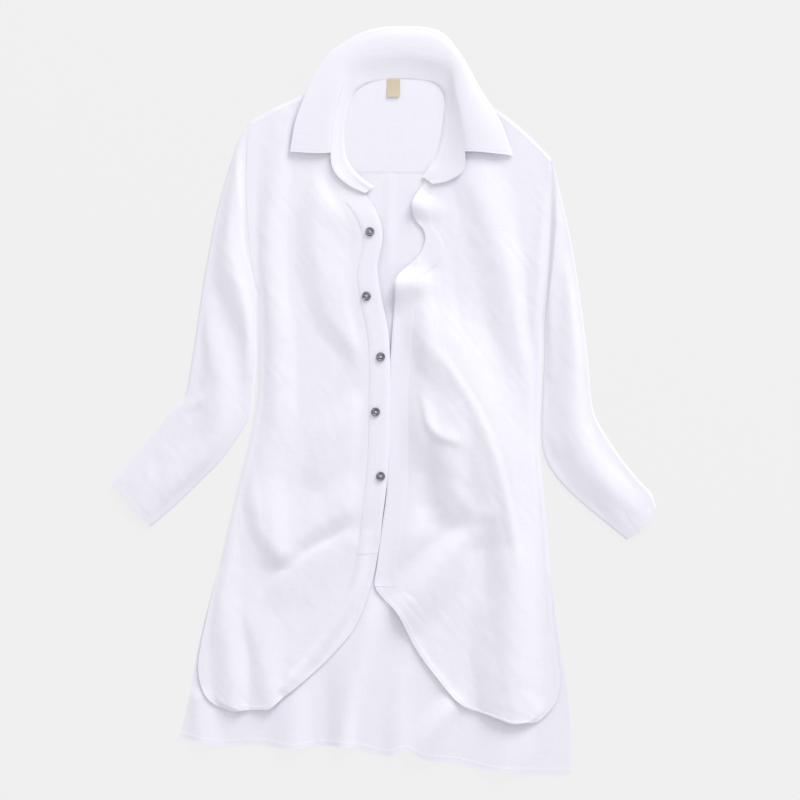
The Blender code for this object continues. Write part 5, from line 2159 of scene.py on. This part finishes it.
# Studio
@dataclass
class Studio:
    """Pale floor, soft light from the upper right and a camera straight above, all in metres.

    Attributes:
        target: Place of the middle of the picture.
        cloth_height: Height of the cloth in focus.
        distance: Distance of the camera over it.
        frame_width: Width of the picture at the cloth.
        sensor: Width of the camera's sensor, in millimetres.
        key_place: Place of the lamp.
        key_size: Side of the lamp.
        key_watts: Power of the lamp.
        sky: Colour of the light from all round.
        sky_strength: Its strength.
        floor_glow: Strength of the floor's own light.
        floor_reach: Half of the floor's side.
        floor_z: Height of the floor, just below the dress.
    """

    target: tuple[float, float] = (0.0231, 0.0007)
    cloth_height: float = 0.006
    distance: float = 3.2
    frame_width: float = 1.12
    sensor: float = 36.0
    key_place: tuple[float, float, float] = (2.9, 5.8, 2.9)
    key_size: float = 3.2
    key_watts: float = 300
    sky: str = "F0F0F0"
    sky_strength: float = 0.82
    floor_glow: float = 0.779
    floor_reach: float = 6.0
    floor_z: float = -0.0006

    def build(self) -> None:
        """Adds the camera, light, world and floor."""
        self.camera()
        self.light()
        world = bpy.data.worlds.new("Studio")
        world.use_nodes = True
        sky = {"Color": colour(self.sky), "Strength": self.sky_strength}
        connect(world.node_tree, world.node_tree.nodes["Background"], sky)
        bpy.context.scene.world = world
        bpy.context.scene.view_settings.view_transform = "Standard"
        self.floor()

    def camera(self) -> None:
        """Adds the camera, which looks straight down."""
        data = bpy.data.cameras.new("Camera")
        data.sensor_width = self.sensor
        data.lens = self.sensor * self.distance / self.frame_width
        camera = add_object("Camera", data)
        camera.location = (*self.target, self.distance + self.cloth_height)
        bpy.context.scene.camera = camera

    def light(self) -> None:
        """Adds a square lamp that faces the middle of the dress."""
        data = bpy.data.lights.new("Key", "AREA")
        data.size = self.key_size
        data.energy = self.key_watts
        lamp = add_object("Key", data)
        lamp.location = self.key_place
        lamp.rotation_mode = "QUATERNION"
        facing = Vector((*self.target, 0)) - Vector(self.key_place)
        lamp.rotation_quaternion = facing.to_track_quat("-Z", "Y")

    def floor(self) -> None:
        """Adds the floor, which mostly glows evenly, so that it takes only a faint shadow."""
        material, tree, shader = new_material("Matt backdrop paper")
        looks = {"Base Color": (0.1, 0.1, 0.1, 1), "Roughness": 1.0, "Specular IOR Level": 0.0}
        looks |= {"Emission Color": (1, 1, 1, 1), "Emission Strength": self.floor_glow}
        connect(tree, shader, looks)
        reach = self.floor_reach
        corners = [(-reach, -reach, 0), (reach, -reach, 0), (reach, reach, 0), (-reach, reach, 0)]
        mesh = bpy.data.meshes.new("floor")
        mesh.from_pydata(corners, [], [(0, 1, 2, 3)])
        mesh.materials.append(material)
        floor = add_object("floor", mesh)
        floor.location.z = self.floor_z


def main() -> None:
    """Builds the dress, piece by piece, and its studio."""
    logging.basicConfig(level=logging.INFO, format="%(message)s")
    Studio().build()
    makes = (Linen(), Thread(), DyedShell(), RibbedTape())
    finishes = Finishes(*(make.material() for make in makes))
    stitching = Stitching(finishes.thread)
    back = Back()
    panel = back.panel()
    yoke = back.yoke()
    panel.piece("back_cloth", "back_panel", finishes.linen, ["floor"])
    yoke.piece("yoke_cloth", "back_yoke", finishes.linen, ["floor"])
    lines = back.stitch_lines(panel, yoke, stitching.lift)
    tops = []
    fronts = (
        (Side.LEFT, LEFT_FRONT, LEFT_FRONT_RIDGES, LEFT_SHOULDER_BOW, LEFT_PLACKET_SPAN),
        (Side.RIGHT, RIGHT_FRONT, RIGHT_FRONT_RIDGES, RIGHT_SHOULDER_BOW, RIGHT_PLACKET_SPAN),
    )
    for side, *cut in fronts:
        node = f"{side.name.lower()}_front"
        band = f"{side.name.lower()}_placket"
        front = Front(side, *cut)
        front.cloth().piece(f"{node}_cloth", node, finishes.linen, ["back_cloth", "yoke_cloth"])
        front.placket().piece(f"{band}_band", band, finishes.linen, [f"{node}_cloth"])
        lines += front.stitch_lines(stitching.lift)
        tops.append(front.upper_side)
    sleeves = (
        (Side.LEFT, LEFT_SLEEVE, LEFT_SLEEVE_RIDGES),
        (Side.RIGHT, RIGHT_SLEEVE, RIGHT_SLEEVE_RIDGES),
    )
    for side, *cut in sleeves:
        node = f"{side.name.lower()}_sleeve"
        sleeve = Sleeve(side, *cut)
        cloth = sleeve.cloth()
        cloth.piece(f"{node}_cloth", node, finishes.linen, ["floor"])
        lines += sleeve.stitch_lines(cloth.upper, stitching.lift)
    collar = Collar(HeightMap(tops + [yoke.upper]))
    stand = collar.stand()
    leaf = collar.leaf()
    lies_on = ["left_front_cloth", "right_front_cloth"]
    stand.piece("stand_cloth", "collar_stand", finishes.linen, lies_on)
    leaf.piece("leaf_cloth", "collar_leaf", finishes.linen, ["stand_cloth"])
    lines += collar.stitch_lines(stand, leaf, stitching.lift)
    label = Label()
    tape = label.cloth()
    tape.piece("label_tape", "neck_label", finishes.label, ["yoke_cloth"], "label")
    lines += label.stitch_lines(tape, stitching.lift)
    stitching.piece("body_stitches", lines)
    seat = PLACKET_TOP + LAP_LIFT + BUTTON_SEAT
    band_top = FRONT_TOP + LAP_LIFT + SEWN_GAP + PLACKET_PLY
    sewn = []
    for number, place in enumerate(BUTTON_PLACES, 1):
        button = Button(place.x, place.y, seat, band_top)
        button.disc(f"shell_button_{number}", f"button_{number}", finishes.button)
        sewn += button.thread_paths()
    corded("button_threads", sewn, Button.thread_radius, finishes.thread)


if __name__ == "__main__":
    main()
